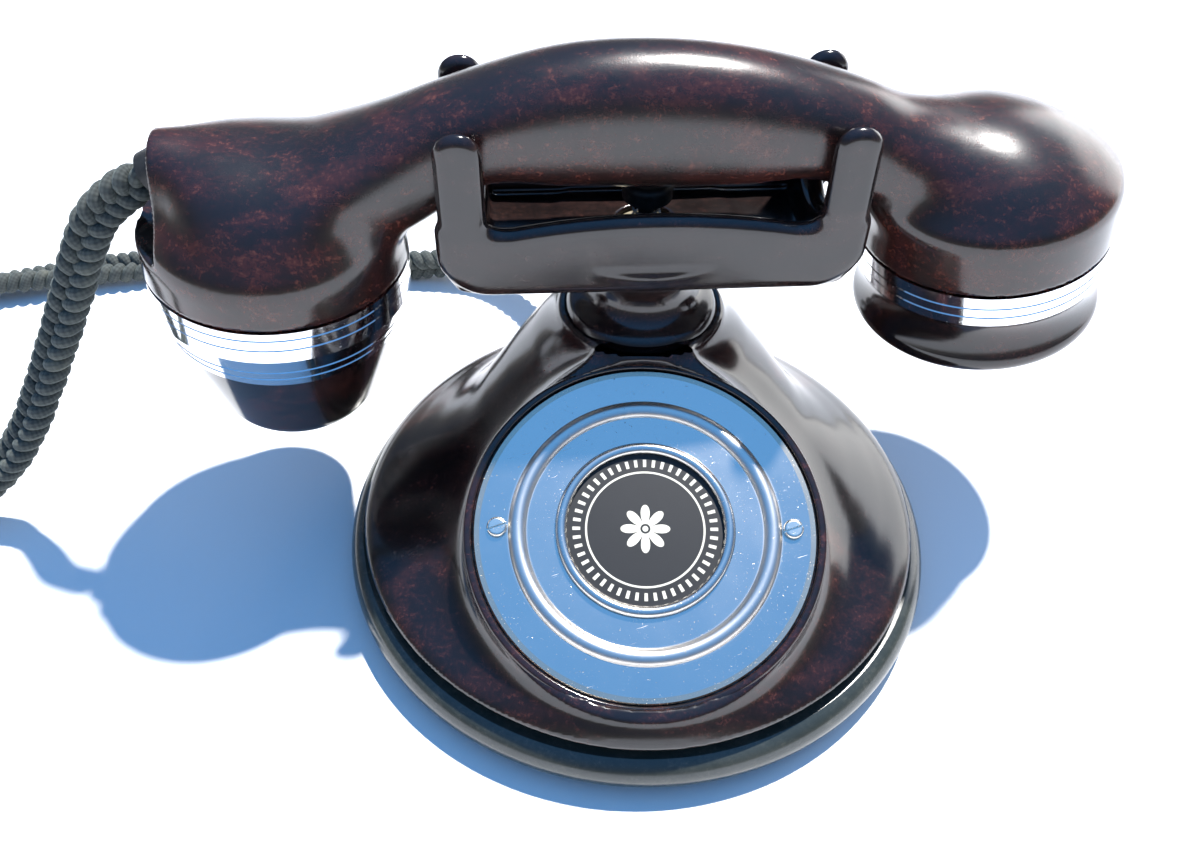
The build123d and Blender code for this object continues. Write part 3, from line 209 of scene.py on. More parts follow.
def skin(name, form, low, high, step, turned=False):
    """Closed smooth mesh of a form, given in millimetres: form(x, y, z) is below 0 inside."""
    axes = [np.arange(a, b + step, step) for a, b in zip(low, high)]
    values = form(*np.meshgrid(*axes, indexing="ij"))
    inside = values < 0
    cells, index = crossed_cells(inside)
    points = cell_points(values, cells) * step + np.array([axis[0] for axis in axes])
    points = drawn_to_surface(points, form, 0.3 * step)
    if turned:
        away = points - (0, NECK_Y, 0)
        points = away @ np.array(Matrix.Rotation(HANDSET_TURN, 3, "Z")).T + (0, NECK_Y, 0)
    return new_piece(name, points * MM, outward_faces(inside, index))


# ---------------------------------------------------------------- materials
class Value:
    """One output of a finish's nodes, with the operators that its maths needs."""

    def __init__(self, finish, socket):
        self.finish = finish
        self.socket = socket

    def __add__(self, other):
        return self.finish.maths("ADD", self, other)

    def __sub__(self, other):
        return self.finish.maths("SUBTRACT", self, other)

    def __mul__(self, other):
        return self.finish.maths("MULTIPLY", self, other)

    def __radd__(self, other):
        return self.finish.maths("ADD", other, self)

    def __rsub__(self, other):
        return self.finish.maths("SUBTRACT", other, self)

    def power(self, other):
        return self.finish.maths("POWER", self, other)

    def between(self, low, high):
        """Smooth step from 0 at low to 1 at high."""
        return self.finish.node(
            "ShaderNodeMapRange",
            {"interpolation_type": "SMOOTHSTEP"},
            {"Value": self, "From Min": low, "From Max": high},
        )


class Finish:
    """One material: its nodes and its surface shader."""

    def __init__(self, name, **surface):
        self.material = bpy.data.materials.new(name)
        self.material.use_nodes = True
        self.tree = self.material.node_tree
        self.shader = self.tree.nodes["Principled BSDF"]
        self.set(**surface)

    def plug(self, socket, value):
        if isinstance(value, Value):
            self.tree.links.new(value.socket, socket)
        else:
            socket.default_value = value

    def set(self, **surface):
        """Values or links for the shader's sockets: base_color stands for Base Color."""
        for name, value in surface.items():
            socket = name.replace("_", " ").title().replace("Ior", "IOR")
            self.plug(self.shader.inputs[socket], value)

    def node(self, kind, settings=None, sockets=(), output=0):
        """Any node: its settings first, then the values or links of its sockets."""
        node = self.tree.nodes.new(kind)
        for name, value in (settings or {}).items():
            setattr(node, name, value)
        pairs = sockets.items() if isinstance(sockets, dict) else enumerate(sockets)
        for name, value in pairs:
            self.plug(node.inputs[name], value)
        return Value(self, node.outputs[output])

    def maths(self, operation, *inputs):
        """A maths node on all of its inputs, in their order."""
        return self.node("ShaderNodeMath", {"operation": operation}, inputs)

    def place(self):
        """The point on the piece, in metres."""
        return self.node("ShaderNodeTexCoord", output="Object")

    def axes(self, point):
        """A point's three parts."""
        return [self.node("ShaderNodeSeparateXYZ", {}, (point,), name) for name in "XYZ"]

    def stretched(self, point, scale, turn=(0, 0, 0), shift=(0, 0, 0)):
        """A point scaled, then turned, then shifted."""
        return self.node(
            "ShaderNodeMapping",
            {"vector_type": "POINT"},
            {"Vector": point, "Location": shift, "Rotation": turn, "Scale": scale},
        )

    def noise(self, point, size, detail=3.0, rough=0.5, warp=0.0):
        """Soft noise with lumps of a size in millimetres."""
        return self.node(
            "ShaderNodeTexNoise",
            {},
            {
                "Vector": point,
                "Scale": 1 / (size * MM),
                "Detail": detail,
                "Roughness": rough,
                "Distortion": warp,
            },
        )

    def mix(self, share, one, two):
        """Colour between one and two."""
        return self.node(
            "ShaderNodeMix", {"data_type": "RGBA"}, {0: share, 6: one, 7: two}, output=2
        )

    def relief(self, height, depth):
        """Bumps of a depth in millimetres."""
        return self.node(
            "ShaderNodeBump", {}, {"Height": height, "Distance": depth * MM, "Strength": 1.0}
        )


def colour(red, green, blue):
    """Linear colour from display values of 0 to 255."""
    return tuple(
        (c / 255 / 12.92 if c <= 10 else ((c / 255 + 0.055) / 1.055) ** 2.4)
        for c in (red, green, blue)
    ) + (1.0,)


# Each row of scratches: its direction in radians and its width in millimetres.
SCRATCHES = ((0.3, 0.5), (1.25, 0.7), (2.2, 0.6), (2.9, 0.85), (0.8, 0.55))
BARE_BRASS = colour(172, 146, 98)
PLATE_TARNISH = 0.5
TICKS = 48
LEAVES = 4


def moulded(name, dark, red, bright, share, gloss, worn_from=0.2):
    """Mottled moulded resin: dark ground, fine red-brown mottles, polish worn where hands rub."""
    finish = Finish(name, ior=1.58)
    point = finish.place()
    flow = finish.stretched(point, (0.5, 1, 1))
    clouds = finish.noise(flow, 13, detail=4, rough=0.6, warp=0.6)
    curls = finish.noise(flow, 3.2, detail=4, rough=0.7, warp=0.5)
    flecks = finish.noise(point, 1.1, detail=4, rough=0.75, warp=0.3)
    mottle = (clouds * 0.4 + curls * 0.34 + flecks * 0.26).between(0.42 - share, 0.62 - share)
    ground = finish.mix(mottle, dark, red)
    sparks = (flecks * 0.66 + curls * 0.34).between(0.53, 0.68) * mottle
    haze = finish.noise(point, 22, detail=4, rough=0.6)
    grain = finish.noise(point, 0.4, rough=0.75)
    rubbed = finish.stretched(point, (0.12, 1, 1), turn=(0.2, 0.5, 0.4))
    scuffs = finish.noise(rubbed, 0.8, rough=0.7)
    height = finish.axes(point)[2].between(worn_from, worn_from + 0.014)
    worn = haze.between(0.42, 0.7)
    scuffed = scuffs.between(0.6, 0.8)
    finish.set(
        base_color=finish.mix(sparks * 0.8, ground, bright),
        roughness=gloss + height * 0.11 + worn * 0.07 + grain * 0.05 + scuffed * 0.06,
        normal=finish.relief(
            grain * (0.35 + height * 1.3) + scuffs * 0.2 + flecks * 0.4, depth=0.012
        ),
    )
    return finish.material


def on_plate(finish):
    """Across, up and distance from the middle, in the plate's own plane, in metres."""
    shift = (0, -MOUNT_AT[0] * MM, -MOUNT_AT[1] * MM)
    level = finish.stretched(finish.place(), (1, 1, 1), shift=shift)
    flat = finish.stretched(level, (1, 1, 1), turn=(-MOUNT_TILT, 0, 0))
    across, up, _ = finish.axes(flat)
    return across, up, (across * across + up * up).power(0.5)


def scratches(finish, point):
    """Fine scratches in five directions, gathered in patches."""
    lines = 0
    for turn, size in SCRATCHES:
        turned = finish.stretched(point, (1, 1, 1), turn=(0.4, 0.2, turn))
        drawn = finish.stretched(turned, (0.1, 2.2, 2.2))
        lines = finish.noise(drawn, size, detail=2).between(0.71, 0.79) + lines
    return lines * finish.noise(point, 14, rough=0.6).between(0.36, 0.62)


def plate_wear(finish):
    """The plate's tarnish, even but for its brown edge, and the duller polish of its middle."""
    radius = on_plate(finish)[2]
    inner = 1 - radius.between(0.0276, 0.0282)
    edge = radius.between(0.0384, 0.0388)
    ridge = radius.between(0.0272, 0.028) * (1 - radius.between(0.0318, 0.0326))
    tarnish = finish.maths("MAXIMUM", PLATE_TARNISH, edge * 0.9)
    return tarnish, ridge * 0.12 + inner * 0.03


def plated(name, tint, gloss, marks, tarnish=None):
    """Bright plating with scratches, pits and tarnish: its own spots, or the plate's wear."""
    finish = Finish(name, metallic=1.0)
    point = finish.place()
    scratch = scratches(finish, point)
    pits = finish.noise(point, 0.7, rough=0.6).between(0.66, 0.76)
    haze = finish.noise(point, 9, detail=4, rough=0.6)
    wiped = finish.stretched(point, (0.3, 1, 1), turn=(0, 0, 0.7))
    smear = finish.noise(wiped, 5, detail=4, rough=0.65)
    if tarnish is None:
        stain, dulled = plate_wear(finish)
    else:
        spots = finish.noise(point, 6, detail=5, rough=0.72, warp=0.6)
        speckle = finish.noise(point, 1.0, rough=0.7).between(0.42, 0.62)
        stain = spots.between(0.6 - tarnish, 0.74 - tarnish) * speckle
        dulled = 0
    shade = finish.mix(stain * 0.7, tint, BARE_BRASS)
    shade = finish.mix(smear.between(0.45, 0.8) * 0.08, shade, colour(190, 188, 182))
    finish.set(
        base_color=finish.mix(pits * 0.6, shade, colour(96, 88, 78)),
        roughness=gloss + haze * 0.06 + scratch * marks + stain * 0.2 + pits * 0.3 + dulled,
        normal=finish.relief(0 - scratch * 0.6 - pits, depth=0.014),
    )
    return finish.material


def plain_metal(name, tint, gloss, grain_size=1.2):
    """Formed steel, brass or copper parts inside the telephone."""
    finish = Finish(name, metallic=1.0)
    point = finish.place()
    brushed = finish.noise(finish.stretched(point, (0.1, 1, 1)), grain_size, rough=0.7)
    spots = finish.noise(point, 5, detail=4, rough=0.7)
    darker = (*(part * 0.62 for part in tint[:3]), 1)
    finish.set(
        base_color=finish.mix(spots.between(0.4, 0.75), tint, darker),
        roughness=gloss + brushed * 0.15,
        normal=finish.relief(brushed, depth=0.02),
    )
    return finish.material


def dull(name, light, dark, size, depth, gloss=0.7, sheen=0.0):
    """Felt, fibre, rubber and cloth: two tones and a fine soft grain."""
    finish = Finish(name, sheen_weight=sheen)
    point = finish.place()
    tone = finish.noise(point, size * 6, detail=4, rough=0.6)
    grain = finish.noise(point, size, detail=4, rough=0.75)
    finish.set(
        base_color=finish.mix(tone.between(0.35, 0.65) * 0.6 + grain * 0.4, dark, light),
        roughness=gloss + grain * 0.15,
        normal=finish.relief(grain, depth),
    )
    return finish.material


def printed_card():
    """Black card with a plain ring of short ticks and a small eight-leaved rosette."""
    finish = Finish("card_black", ior=1.5)
    across, up, distance = on_plate(finish)
    radius = distance * 1000
    angle = finish.maths("ARCTAN2", up, across)
    ticks = finish.maths("COSINE", angle * TICKS).between(0.25, 0.6)
    ring = radius.between(15.1, 15.35) * (1 - radius.between(16.9, 17.15))
    inner_ring = radius.between(13.55, 13.7) * (1 - radius.between(14.0, 14.15))
    leaf = finish.maths("ABSOLUTE", finish.maths("COSINE", angle * LEAVES))
    rosette = 1 - (radius - (leaf.power(0.6) * 5.0 + 0.8)).between(-0.12, 0.12)
    rosette = rosette * (1 - (1 - radius.between(1.1, 1.3)) * radius.between(0.6, 0.75))
    print_mask = finish.maths("MAXIMUM", ticks * ring + inner_ring, rosette)
    point = finish.place()
    worn = finish.noise(point, 0.5, detail=4, rough=0.7).between(0.2, 0.36)
    fibre = finish.noise(point, 0.25, detail=2, rough=0.6)
    tone = finish.mix(finish.noise(point, 6), colour(9, 9, 11), colour(18, 18, 21))
    finish.set(
        base_color=finish.mix(print_mask * worn, tone, colour(228, 222, 204)),
        roughness=0.42 + fibre * 0.15,
        normal=finish.relief(fibre + print_mask * 0.6, depth=0.015),
    )
    return finish.material


def braided_cloth():
    """Cloth cover of the cord's strands: fine braid with a dusty nap."""
    finish = Finish("cord_cloth", sheen_weight=0.35, sheen_roughness=0.6)
    finish.set(sheen_tint=colour(150, 165, 160))
    around = finish.node("ShaderNodeAttribute", {"attribute_name": "braid"}, output="Vector")
    side, front, along = finish.axes(around)
    angle = finish.maths("ARCTAN2", side, front) * 5
    one = finish.maths("SINE", angle + along)
    two = finish.maths("SINE", angle - along)
    weave = one * two * 0.5 + 0.5
    point = finish.place()
    nap = finish.noise(point, 0.5, detail=4, rough=0.8)
    dust = finish.noise(point, 9, detail=4, rough=0.6)
    tone = finish.mix(weave * 0.55 + nap * 0.45, colour(30, 32, 31), colour(84, 88, 84))
    tone = finish.mix(dust.between(0.5, 0.75) * 0.5, tone, colour(104, 104, 92))
    finish.set(
        base_color=tone,
        roughness=0.82 + nap * 0.12,
        normal=finish.relief(weave * 0.7 + nap, depth=0.12),
    )
    return finish.material


def finishes():
    """One material for each slot of the telephone."""
    chrome = colour(243, 244, 246)
    return {
        "moulding": moulded(
            "moulding_red_brown",
            dark=colour(28, 21, 19),
            red=colour(62, 30, 26),
            bright=colour(108, 64, 50),
            share=0.0,
            gloss=0.1,
            worn_from=0.092,
        ),
        "housing": moulded(
            "moulding_dark",
            dark=colour(22, 16, 15),
            red=colour(50, 27, 24),
            bright=colour(82, 47, 40),
            share=-0.01,
            gloss=0.1,
        ),
        "cradle_moulding": moulded(
            "moulding_purple_black",
            dark=colour(24, 18, 18),
            red=colour(44, 30, 28),
            bright=colour(62, 40, 36),
            share=-0.02,
            gloss=0.12,
        ),
        "base_gloss": moulded(
            "base_grey_black",
            dark=colour(46, 51, 48),
            red=colour(58, 62, 58),
            bright=colour(74, 74, 66),
            share=0.0,
            gloss=0.14,
        ),
        "bright_plate": plated("plating_of_plate", chrome, gloss=0.05, marks=0.22),
        "bright_band": plated(
            "plating_of_bands", chrome, gloss=0.045, marks=0.1, tarnish=-0.06
        ),
        "bright_screw": plated(
            "plating_of_screws", colour(236, 232, 222), gloss=0.2, marks=0.2, tarnish=0.03
        ),
        "card": printed_card(),
        "steel": plain_metal("steel_formed", colour(172, 174, 176), gloss=0.3),
        "contact_metal": plain_metal("nickel_silver", colour(196, 186, 160), gloss=0.25),
        "copper": plain_metal("copper_wound", colour(184, 110, 70), gloss=0.35, grain_size=0.5),
        "insulator": dull(
            "fibre_insulator", colour(96, 60, 38), colour(60, 34, 24), 0.5, 0.05, gloss=0.5
        ),
        "rubber": dull(
            "rubber_bushing", colour(40, 40, 40), colour(18, 18, 18), 0.3, 0.03, gloss=0.45
        ),
        "magnet": plain_metal("magnet_steel", colour(104, 106, 110), gloss=0.4, grain_size=0.8),
        "capsule": plain_metal("capsule_brass", colour(190, 168, 112), gloss=0.3),
        "diaphragm": plain_metal("diaphragm_iron", colour(70, 70, 74), gloss=0.35),
        "wire": dull("lead_cotton", colour(166, 116, 60), colour(104, 66, 34), 0.3, 0.06),
        "cord_cloth": braided_cloth(),
        "felt": dull(
            "base_felt", colour(52, 66, 52), colour(26, 36, 28), 0.35, 0.15, gloss=0.85, sheen=0.4
        ),
    }


# ---------------------------------------------------------------- cord
CORD_D = 10.5
CORD_POINTS = [
    (-113.42, 25.56, 97.17),
    (-123.11, 24.99, 92.01),
    (-130.6, 23.5, 84.1),
    (-139.5, 20.5, 66),
    (-150.5, 16, 45),
    (-161.5, 10.5, 25),
    (-175, 5, 11),
    (-198, -0.5, 5.3),
    (-228, -4, 5.3),
    (-259.5, 7.5, 5.3),
    (-279, 35, 5.3),
    (-273, 68, 5.3),
    (-244, 89.5, 5.3),
    (-206, 100.5, 5.3),
    (-167, 110.5, 5.3),
    (-129, 114.5, 5.3),
    (-97, 112.5, 5.3),
    (-65.5, 111.8, 5.3),
    (-47.5, 112, 10.2),
    (-32.5, 106.5, 18.5),
    (-21, 94.5, 24.3),
    (-16, 78.4, 28),
    (-16, 64.17, 27.99),
]
POINT_SPACING = 0.42
SMOOTHED_OVER = 7
PLAIT_PERIOD = 11.6
STRAND_R = 1.78
STRAND_SIDES = 12
BRAID_PITCH = 4.2
PLAIT_SIDE = CORD_D / 2 - STRAND_R
PLAIT_DEPTH = 1.75


def cord_line():
    """Points along the cord's own smooth line, in millimetres."""
    curve = bpy.data.curves.new("cord_line", "CURVE")
    curve.dimensions = "3D"
    curve.resolution_u = 24
    spline = curve.splines.new("NURBS")
    spline.points.add(len(CORD_POINTS) - 1)
    for point, at in zip(spline.points, CORD_POINTS):
        point.co = (*(value * MM for value in at), 1)
    spline.order_u = 3
    spline.use_endpoint_u = True
    line = bpy.data.objects.new("cord_line", curve)
    bpy.context.scene.collection.objects.link(line)
    mesh = bpy.data.meshes.new_from_object(line)
    points = np.array([v.co for v in mesh.vertices]) / MM
    bpy.data.objects.remove(line)
    bpy.data.meshes.remove(mesh)
    return points


def distances(line):
    """How far each point lies along a line."""
    runs = np.linalg.norm(np.diff(line, axis=0), axis=1)
    return np.concatenate([[0], np.cumsum(runs)])


def headings(line):
    """The direction of a line at each point."""
    ahead = np.gradient(line, axis=0)
    return ahead / np.linalg.norm(ahead, axis=1, keepdims=True)


def carried(ahead, sideways):
    """A sideways direction carried along a line's directions without twist."""
    sides = np.zeros_like(ahead)
    for i, direction in enumerate(ahead):
        across = sideways - direction * (sideways @ direction)
        sideways = across / np.linalg.norm(across)
        sides[i] = sideways
    return sides


def even_line(line):
    """The line's points again, evenly spaced and smoothed, with their distances."""
    along = distances(line)
    at = np.linspace(0, along[-1], int(along[-1] / POINT_SPACING))
    centre = np.stack([np.interp(at, along, part) for part in line.T], 1)
    kernel = np.ones(SMOOTHED_OVER) / SMOOTHED_OVER
    half = SMOOTHED_OVER // 2
    centre[half:-half] = np.stack([np.convolve(part, kernel, "valid") for part in centre.T], 1)
    return centre, at


def strand_tube(path, start, radius, travelled):
    """One strand's points, its faces counted from 0, and its place in the braid's pattern."""
    count = len(path)
    tangent = headings(path)
    outward = carried(tangent, start)
    other = np.cross(tangent, outward)
    points, braid = [], []
    for k in range(STRAND_SIDES):
        turn = 2 * math.pi * k / STRAND_SIDES
        from_middle = outward * math.cos(turn) + other * math.sin(turn)
        points.append(path + from_middle * radius[:, None])
        where = [np.full(count, math.sin(turn)), np.full(count, math.cos(turn))]
        braid.append(np.stack([*where, travelled * BRAID_PITCH], 1))
    grid = np.arange(STRAND_SIDES)[:, None] * count + np.arange(count)[None, :]
    over = np.roll(grid, -1, axis=0)
    faces = [np.stack([grid[:, :-1], grid[:, 1:], over[:, 1:], over[:, :-1]], -1).reshape(-1, 4)]
    for end in (0, count - 1):
        cap = grid[:, end]
        for k in range(1, STRAND_SIDES // 2):
            quad = (cap[k - 1], cap[k], cap[-k - 1], cap[-k])
            faces.append(np.array([quad if end == 0 else quad[::-1]]))
    return np.concatenate(points), np.concatenate(faces), np.concatenate(braid)


def plaited_cord():
    """Three cloth-covered strands plaited along the cord's line."""
    line = cord_line()
    centre, at = even_line(line)
    length = at[-1]
    ahead = headings(centre)
    side = carried(ahead, np.cross(ahead[0], (0, 0, 1)))
    roll = 0.9 + 1.1 * np.sin(at / 61 + 0.4) + at / 170
    side = side * np.cos(roll)[:, None] + np.cross(ahead, side) * np.sin(roll)[:, None]
    front = np.cross(ahead, side)
    ease = np.clip(np.minimum(at / 5, (length - at) / 7), 0, 1) ** 0.7
    points, faces, braid = [], [], []
    for strand in range(3):
        phase = 2 * math.pi * (at / PLAIT_PERIOD + strand / 3) + 0.12 * np.sin(at / 9 + strand)
        wide = PLAIT_SIDE * (0.35 + 0.65 * ease) * (1 + 0.03 * np.sin(at / 13 + 2 * strand))
        path = (
            centre
            + side * (wide * np.sin(phase))[:, None]
            - front * (PLAIT_DEPTH * ease * np.sin(2 * phase))[:, None]
        )
        travelled = distances(path)
        radius = STRAND_R * (0.93 + 0.07 * ease) * (1 + 0.02 * np.sin(travelled * 1.9 + strand))
        start = np.cross(headings(path)[0], front[0])
        tube, quads, pattern = strand_tube(path, start, radius, travelled)
        points.append(tube)
        faces.append(quads + strand * len(tube))
        braid.append(pattern)
    cord = new_piece("handset_cord_plait", np.concatenate(points) * MM, np.concatenate(faces))
    attribute = cord.data.attributes.new("braid", "FLOAT_VECTOR", "POINT")
    attribute.data.foreach_set("vector", np.concatenate(braid).astype(np.float32).ravel())
    cord.data.materials.append(FINISH["cord_cloth"])
    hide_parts("handset_cord")
    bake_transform(cord)


# ---------------------------------------------------------------- handset
GRIP_SECTIONS = [
    (-113, 96.0, 11.5, 10.0),
    (-111.5, 96.0, 11.5, 10.0),
    (-99, 92.5, 13.5, 19.0),
    (-84, 90.7, 14.3, 22.0),
    (-70, 94.3, 14.5, 19.5),
    (-59, 98.7, 14.3, 15.8),
    (-50, 103.1, 13.6, 13.8),
    (-42, 107.5, 11.9, 13.6),
    (-20, 111.0, 14.7, 13.6),
    (0, 111.1, 15.8, 13.6),
    (20, 110.2, 14.6, 13.6),
    (42, 107.1, 11.8, 13.6),
    (50, 102.7, 13.4, 13.8),
    (59, 98.3, 13.8, 16.0),
    (72, 95.5, 14.2, 19.5),
    (84, 94.7, 13.0, 22.0),
    (100, 92.0, 10.0, 16.0),
]
TOP_POWER = 2.15
LOW_POWER = 2.9
GRIP_STOP = 96
END_X = -111.5
END_LOW = 86.5
END_ROUND = 0.7
GLAND_Z = 98.3
GLAND_SLOPE = math.radians(28)
GLAND_R = 5.55
GLAND_DEPTH = 5.5
MOUTH_CUP = {
    "at_x": -89,
    "at_z": 75.8,
    "cant": -3,
    "radius": 31.2,
    "wall": 9.5,
    "rise": 18,
    "depth": 7.5,
}
EAR_CUP = {
    "at_x": 84,
    "at_z": 80,
    "cant": 8.5,
    "radius": 30.4,
    "wall": 14,
    "rise": 13.5,
    "depth": 12.5,
}
CUP_WALL = 3.2
CUP_FILLET = 6


def cup_form(x, y, z, at_x, at_z, cant, radius, wall, rise, depth):
    """Moulded cup: upright wall, soft crease, domed crown, open recess below."""
    lean = math.radians(cant)
    out = (x - at_x) * math.cos(lean) + (z - at_z) * math.sin(lean)
    up = (z - at_z) * math.cos(lean) - (x - at_x) * math.sin(lean)
    from_axis = np.sqrt(out**2 + y**2)
    ball = (radius**2 + rise**2) / (2 * rise)
    dome = np.sqrt(from_axis**2 + (up - wall - rise + ball) ** 2) - ball
    solid = round_max(round_max(from_axis - radius, dome, 1.7), -up, 0.8)
    hollow = np.maximum(from_axis - radius + CUP_WALL, up - depth)
    return solid, hollow


def handle_form(x, y, z):
    """Grip with a domed top and flat flanks, flowing into both cups."""
    y = y - NECK_Y
    middle, half_h, half_w = (lookup(x) for lookup in GRIP_TABLE)
    high = np.abs(z - middle) / half_h
    wide = np.abs(y) / half_w
    above = z > middle
    top = (wide**TOP_POWER + high**TOP_POWER) ** (1 / TOP_POWER)
    low = (wide**LOW_POWER + high**LOW_POWER) ** (1 / LOW_POWER)
    grip = (np.where(above, top, low) - 1) * np.minimum(half_h, half_w)
    grip = round_max(round_max(grip, END_X - x, END_ROUND), x - GRIP_STOP, CUP_FILLET)
    mouth, mouth_hollow = cup_form(x, y, z, **MOUTH_CUP)
    ear, ear_hollow = cup_form(x, y, z, **EAR_CUP)
    solid = round_min(round_min(grip, mouth, CUP_FILLET), ear, CUP_FILLET)
    solid = round_max(solid, -np.maximum(x - END_X, END_LOW - z), END_ROUND)
    out, down = END_X - x, GLAND_Z - z
    along = out * math.cos(GLAND_SLOPE) + down * math.sin(GLAND_SLOPE)
    across = down * math.cos(GLAND_SLOPE) - out * math.sin(GLAND_SLOPE)
    seat = np.maximum(np.hypot(across, y) - GLAND_R, -GLAND_DEPTH - along)
    return np.maximum(np.maximum(np.maximum(solid, -mouth_hollow), -ear_hollow), -seat)


def handset():
    """The moulded handle with its grip and both cups."""
    low, high = (-119, -1, 72), (113, 66, 130)
    handle = skin("handle_moulding", handle_form, low, high, step=0.8, turned=True)
    handle.data.materials.append(FINISH["moulding"])
    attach(handle, "handset")
    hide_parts("handset_handle")


# ---------------------------------------------------------------- cradle
BROW_Z = 92.3
BROW_RISE = 3.0
BROW_HALF = 32
TROUGH_LOW = 74.6
HORN_X = 43.1
HORN_TOP = 116.5
WALL_Y = 17.1
WALL_HALF = 2.6
WALL_LEAN = 0.6
SADDLE_X = 41
SADDLE_DIP = 5.5
STEM_LOW = 55.3
STEM_TOP = 79
STUD_R = 5.3
NUT_R = 7.8


def rounded_box(x, z, half_x, low, high, r):
    """Flat rounded rectangle from low to high."""
    a = np.abs(x) - half_x + r
    b = np.abs(z - (low + high) / 2) - (high - low) / 2 + r
    outside = np.hypot(np.maximum(a, 0), np.maximum(b, 0))
    return outside + np.minimum(np.maximum(a, b), 0) - r


def cradle_form(x, y, z):
    """Trough with front and rear walls, four horns, end saddles, stem and foot."""
    y = y - NECK_Y
    depth = np.abs(y)
    from_middle = np.abs(x)
    brow = BROW_Z + BROW_RISE * np.clip(1 - (x / BROW_HALF) ** 2, 0, 1)
    panel = rounded_box(x, z, half_x=48.5, low=TROUGH_LOW, high=130, r=11)
    panel = round_max(panel, z - brow, 1.5)
    horn = rounded_box(from_middle - HORN_X, z, half_x=5.4, low=80, high=HORN_TOP, r=5.3)
    profile = round_min(panel, horn, 4)
    lean = WALL_LEAN * np.clip((z - 96) / 20, 0, 1)
    thick = np.abs(depth - WALL_Y) - WALL_HALF + lean
    walls = round_max(profile, thick, 3.2)
    bottom = rounded_box(x, z, half_x=46, low=TROUGH_LOW, high=80.6, r=2.9)
    bottom = round_max(bottom, depth - 17, 0.5)
    saddle_top = 93 - SADDLE_DIP * np.clip(1 - (y / 13) ** 2, 0, 1)
    saddle = np.maximum(np.abs(from_middle - SADDLE_X) - 3, depth - 16)
    saddle = round_max(saddle, np.maximum(z - saddle_top, 76 - z), 2)
    trough = round_min(round_min(walls, bottom, 2.5), saddle, 2)
    from_axis = np.hypot(x, y)
    stem = (from_axis - STEM_TABLE[0](z)) * 0.8
    stem = round_max(stem, np.maximum(STEM_LOW - z, z - STEM_TOP), 0.9)
    solid = round_min(trough, stem, 4)
    counterbore = np.maximum(from_axis - NUT_R, STEM_TOP - z)
    return np.maximum(np.maximum(solid, STUD_R - from_axis), -counterbore)


def cradle():
    """The moulded cradle on its stem, turned a little like the handset."""
    low, high = (-51, 9, 54), (51, 55.5, 119)
    piece = skin("cradle_moulding", cradle_form, low, high, step=0.65, turned=True)
    piece.data.materials.append(FINISH["cradle_moulding"])
    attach(piece, "base")
    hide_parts("cradle")


# ---------------------------------------------------------------- housing
BELL = [
    (0, 1, 1),
    (0.06, 0.953, 0.885),
    (0.131, 0.832, 0.656),
    (0.215, 0.68, 0.47),
    (0.322, 0.514, 0.448),
    (0.442, 0.387, 0.508),
    (0.585, 0.263, 0.525),
    (0.752, 0.142, 0.366),
    (1, 0, 0),
]
RIM_R = 72.0
NECK_R = 21.4
NECK_Z = 56.4
NECK_ROUND = 1.6
MOUNT_R = 42.6
MOUNT_FILLET = 12
WALL = 3
CEILING_Z = 52.4
# The plate's seat and the hole behind it: radius and depth.
PLATE_SEAT = (41.2, 1.3)
PLATE_BORE = (36.2, 11)
CRADLE_SEAT_R = 19.5
CRADLE_SEAT_Z = 55.2
STUD_HOLE_R = 5.4
INLET_X = 16
INLET_Z = 27.99
INLET_R = 7.0
INLET_FROM_Y = 48


def bell_stations():
    """Height, radius and centre of the bell's circles, as shares from its rim to its neck."""
    rows = [(RIM_Z - 3, RIM_R, 0.0), (RIM_Z - 1.5, RIM_R, 0.0)]
    for height, flare, back in BELL:
        radius = NECK_R + (RIM_R - NECK_R) * flare
        rear = NECK_Y + NECK_R + (RIM_R - NECK_Y - NECK_R) * back
        rows.append((RIM_Z + (NECK_Z - RIM_Z) * height, radius, rear - radius))
    return rows + [(60, NECK_R, NECK_Y)]


def on_mount(y, z):
    """Height over the plate and distance up its slope."""
    above, ahead = z - MOUNT_AT[1], y - MOUNT_AT[0]
    out = above * math.cos(MOUNT_TILT) - ahead * math.sin(MOUNT_TILT)
    return out, ahead * math.cos(MOUNT_TILT) + above * math.sin(MOUNT_TILT)


def housing_form(x, y, z):
    """Bell with the plate's round mount flowing out of its front."""
    radius, centre = (lookup(z) for lookup in BELL_TABLE)
    slope = BELL_TABLE[0](z + 0.5) - BELL_TABLE[0](z - 0.5)
    flank = (np.hypot(x, y - centre) - radius) / np.sqrt(1 + slope**2)
    bell = round_max(flank, z - NECK_Z, NECK_ROUND)
    out, along = on_mount(y, z)
    from_axis = np.hypot(x, along)
    mount = round_max(from_axis - MOUNT_R, out + 0.4, 0.8)
    solid = round_max(round_min(bell, mount, MOUNT_FILLET), RIM_Z - z, 1.2)
    inside = np.minimum(bell, np.maximum(mount, out + 4.3)) + WALL
    solid = np.maximum(solid, -np.maximum(inside, z - CEILING_Z))
    for reach, depth in (PLATE_SEAT, PLATE_BORE):
        solid = np.maximum(solid, -np.maximum(from_axis - reach, -depth - out))
    from_neck = np.hypot(x, y - NECK_Y)
    foot = np.maximum(from_neck - CRADLE_SEAT_R, CRADLE_SEAT_Z - z)
    inlet = np.hypot(np.abs(x) - INLET_X, z - INLET_Z) - INLET_R
    solid = np.maximum(np.maximum(solid, -foot), STUD_HOLE_R - from_neck)
    return np.maximum(solid, -np.maximum(inlet, INLET_FROM_Y - y))


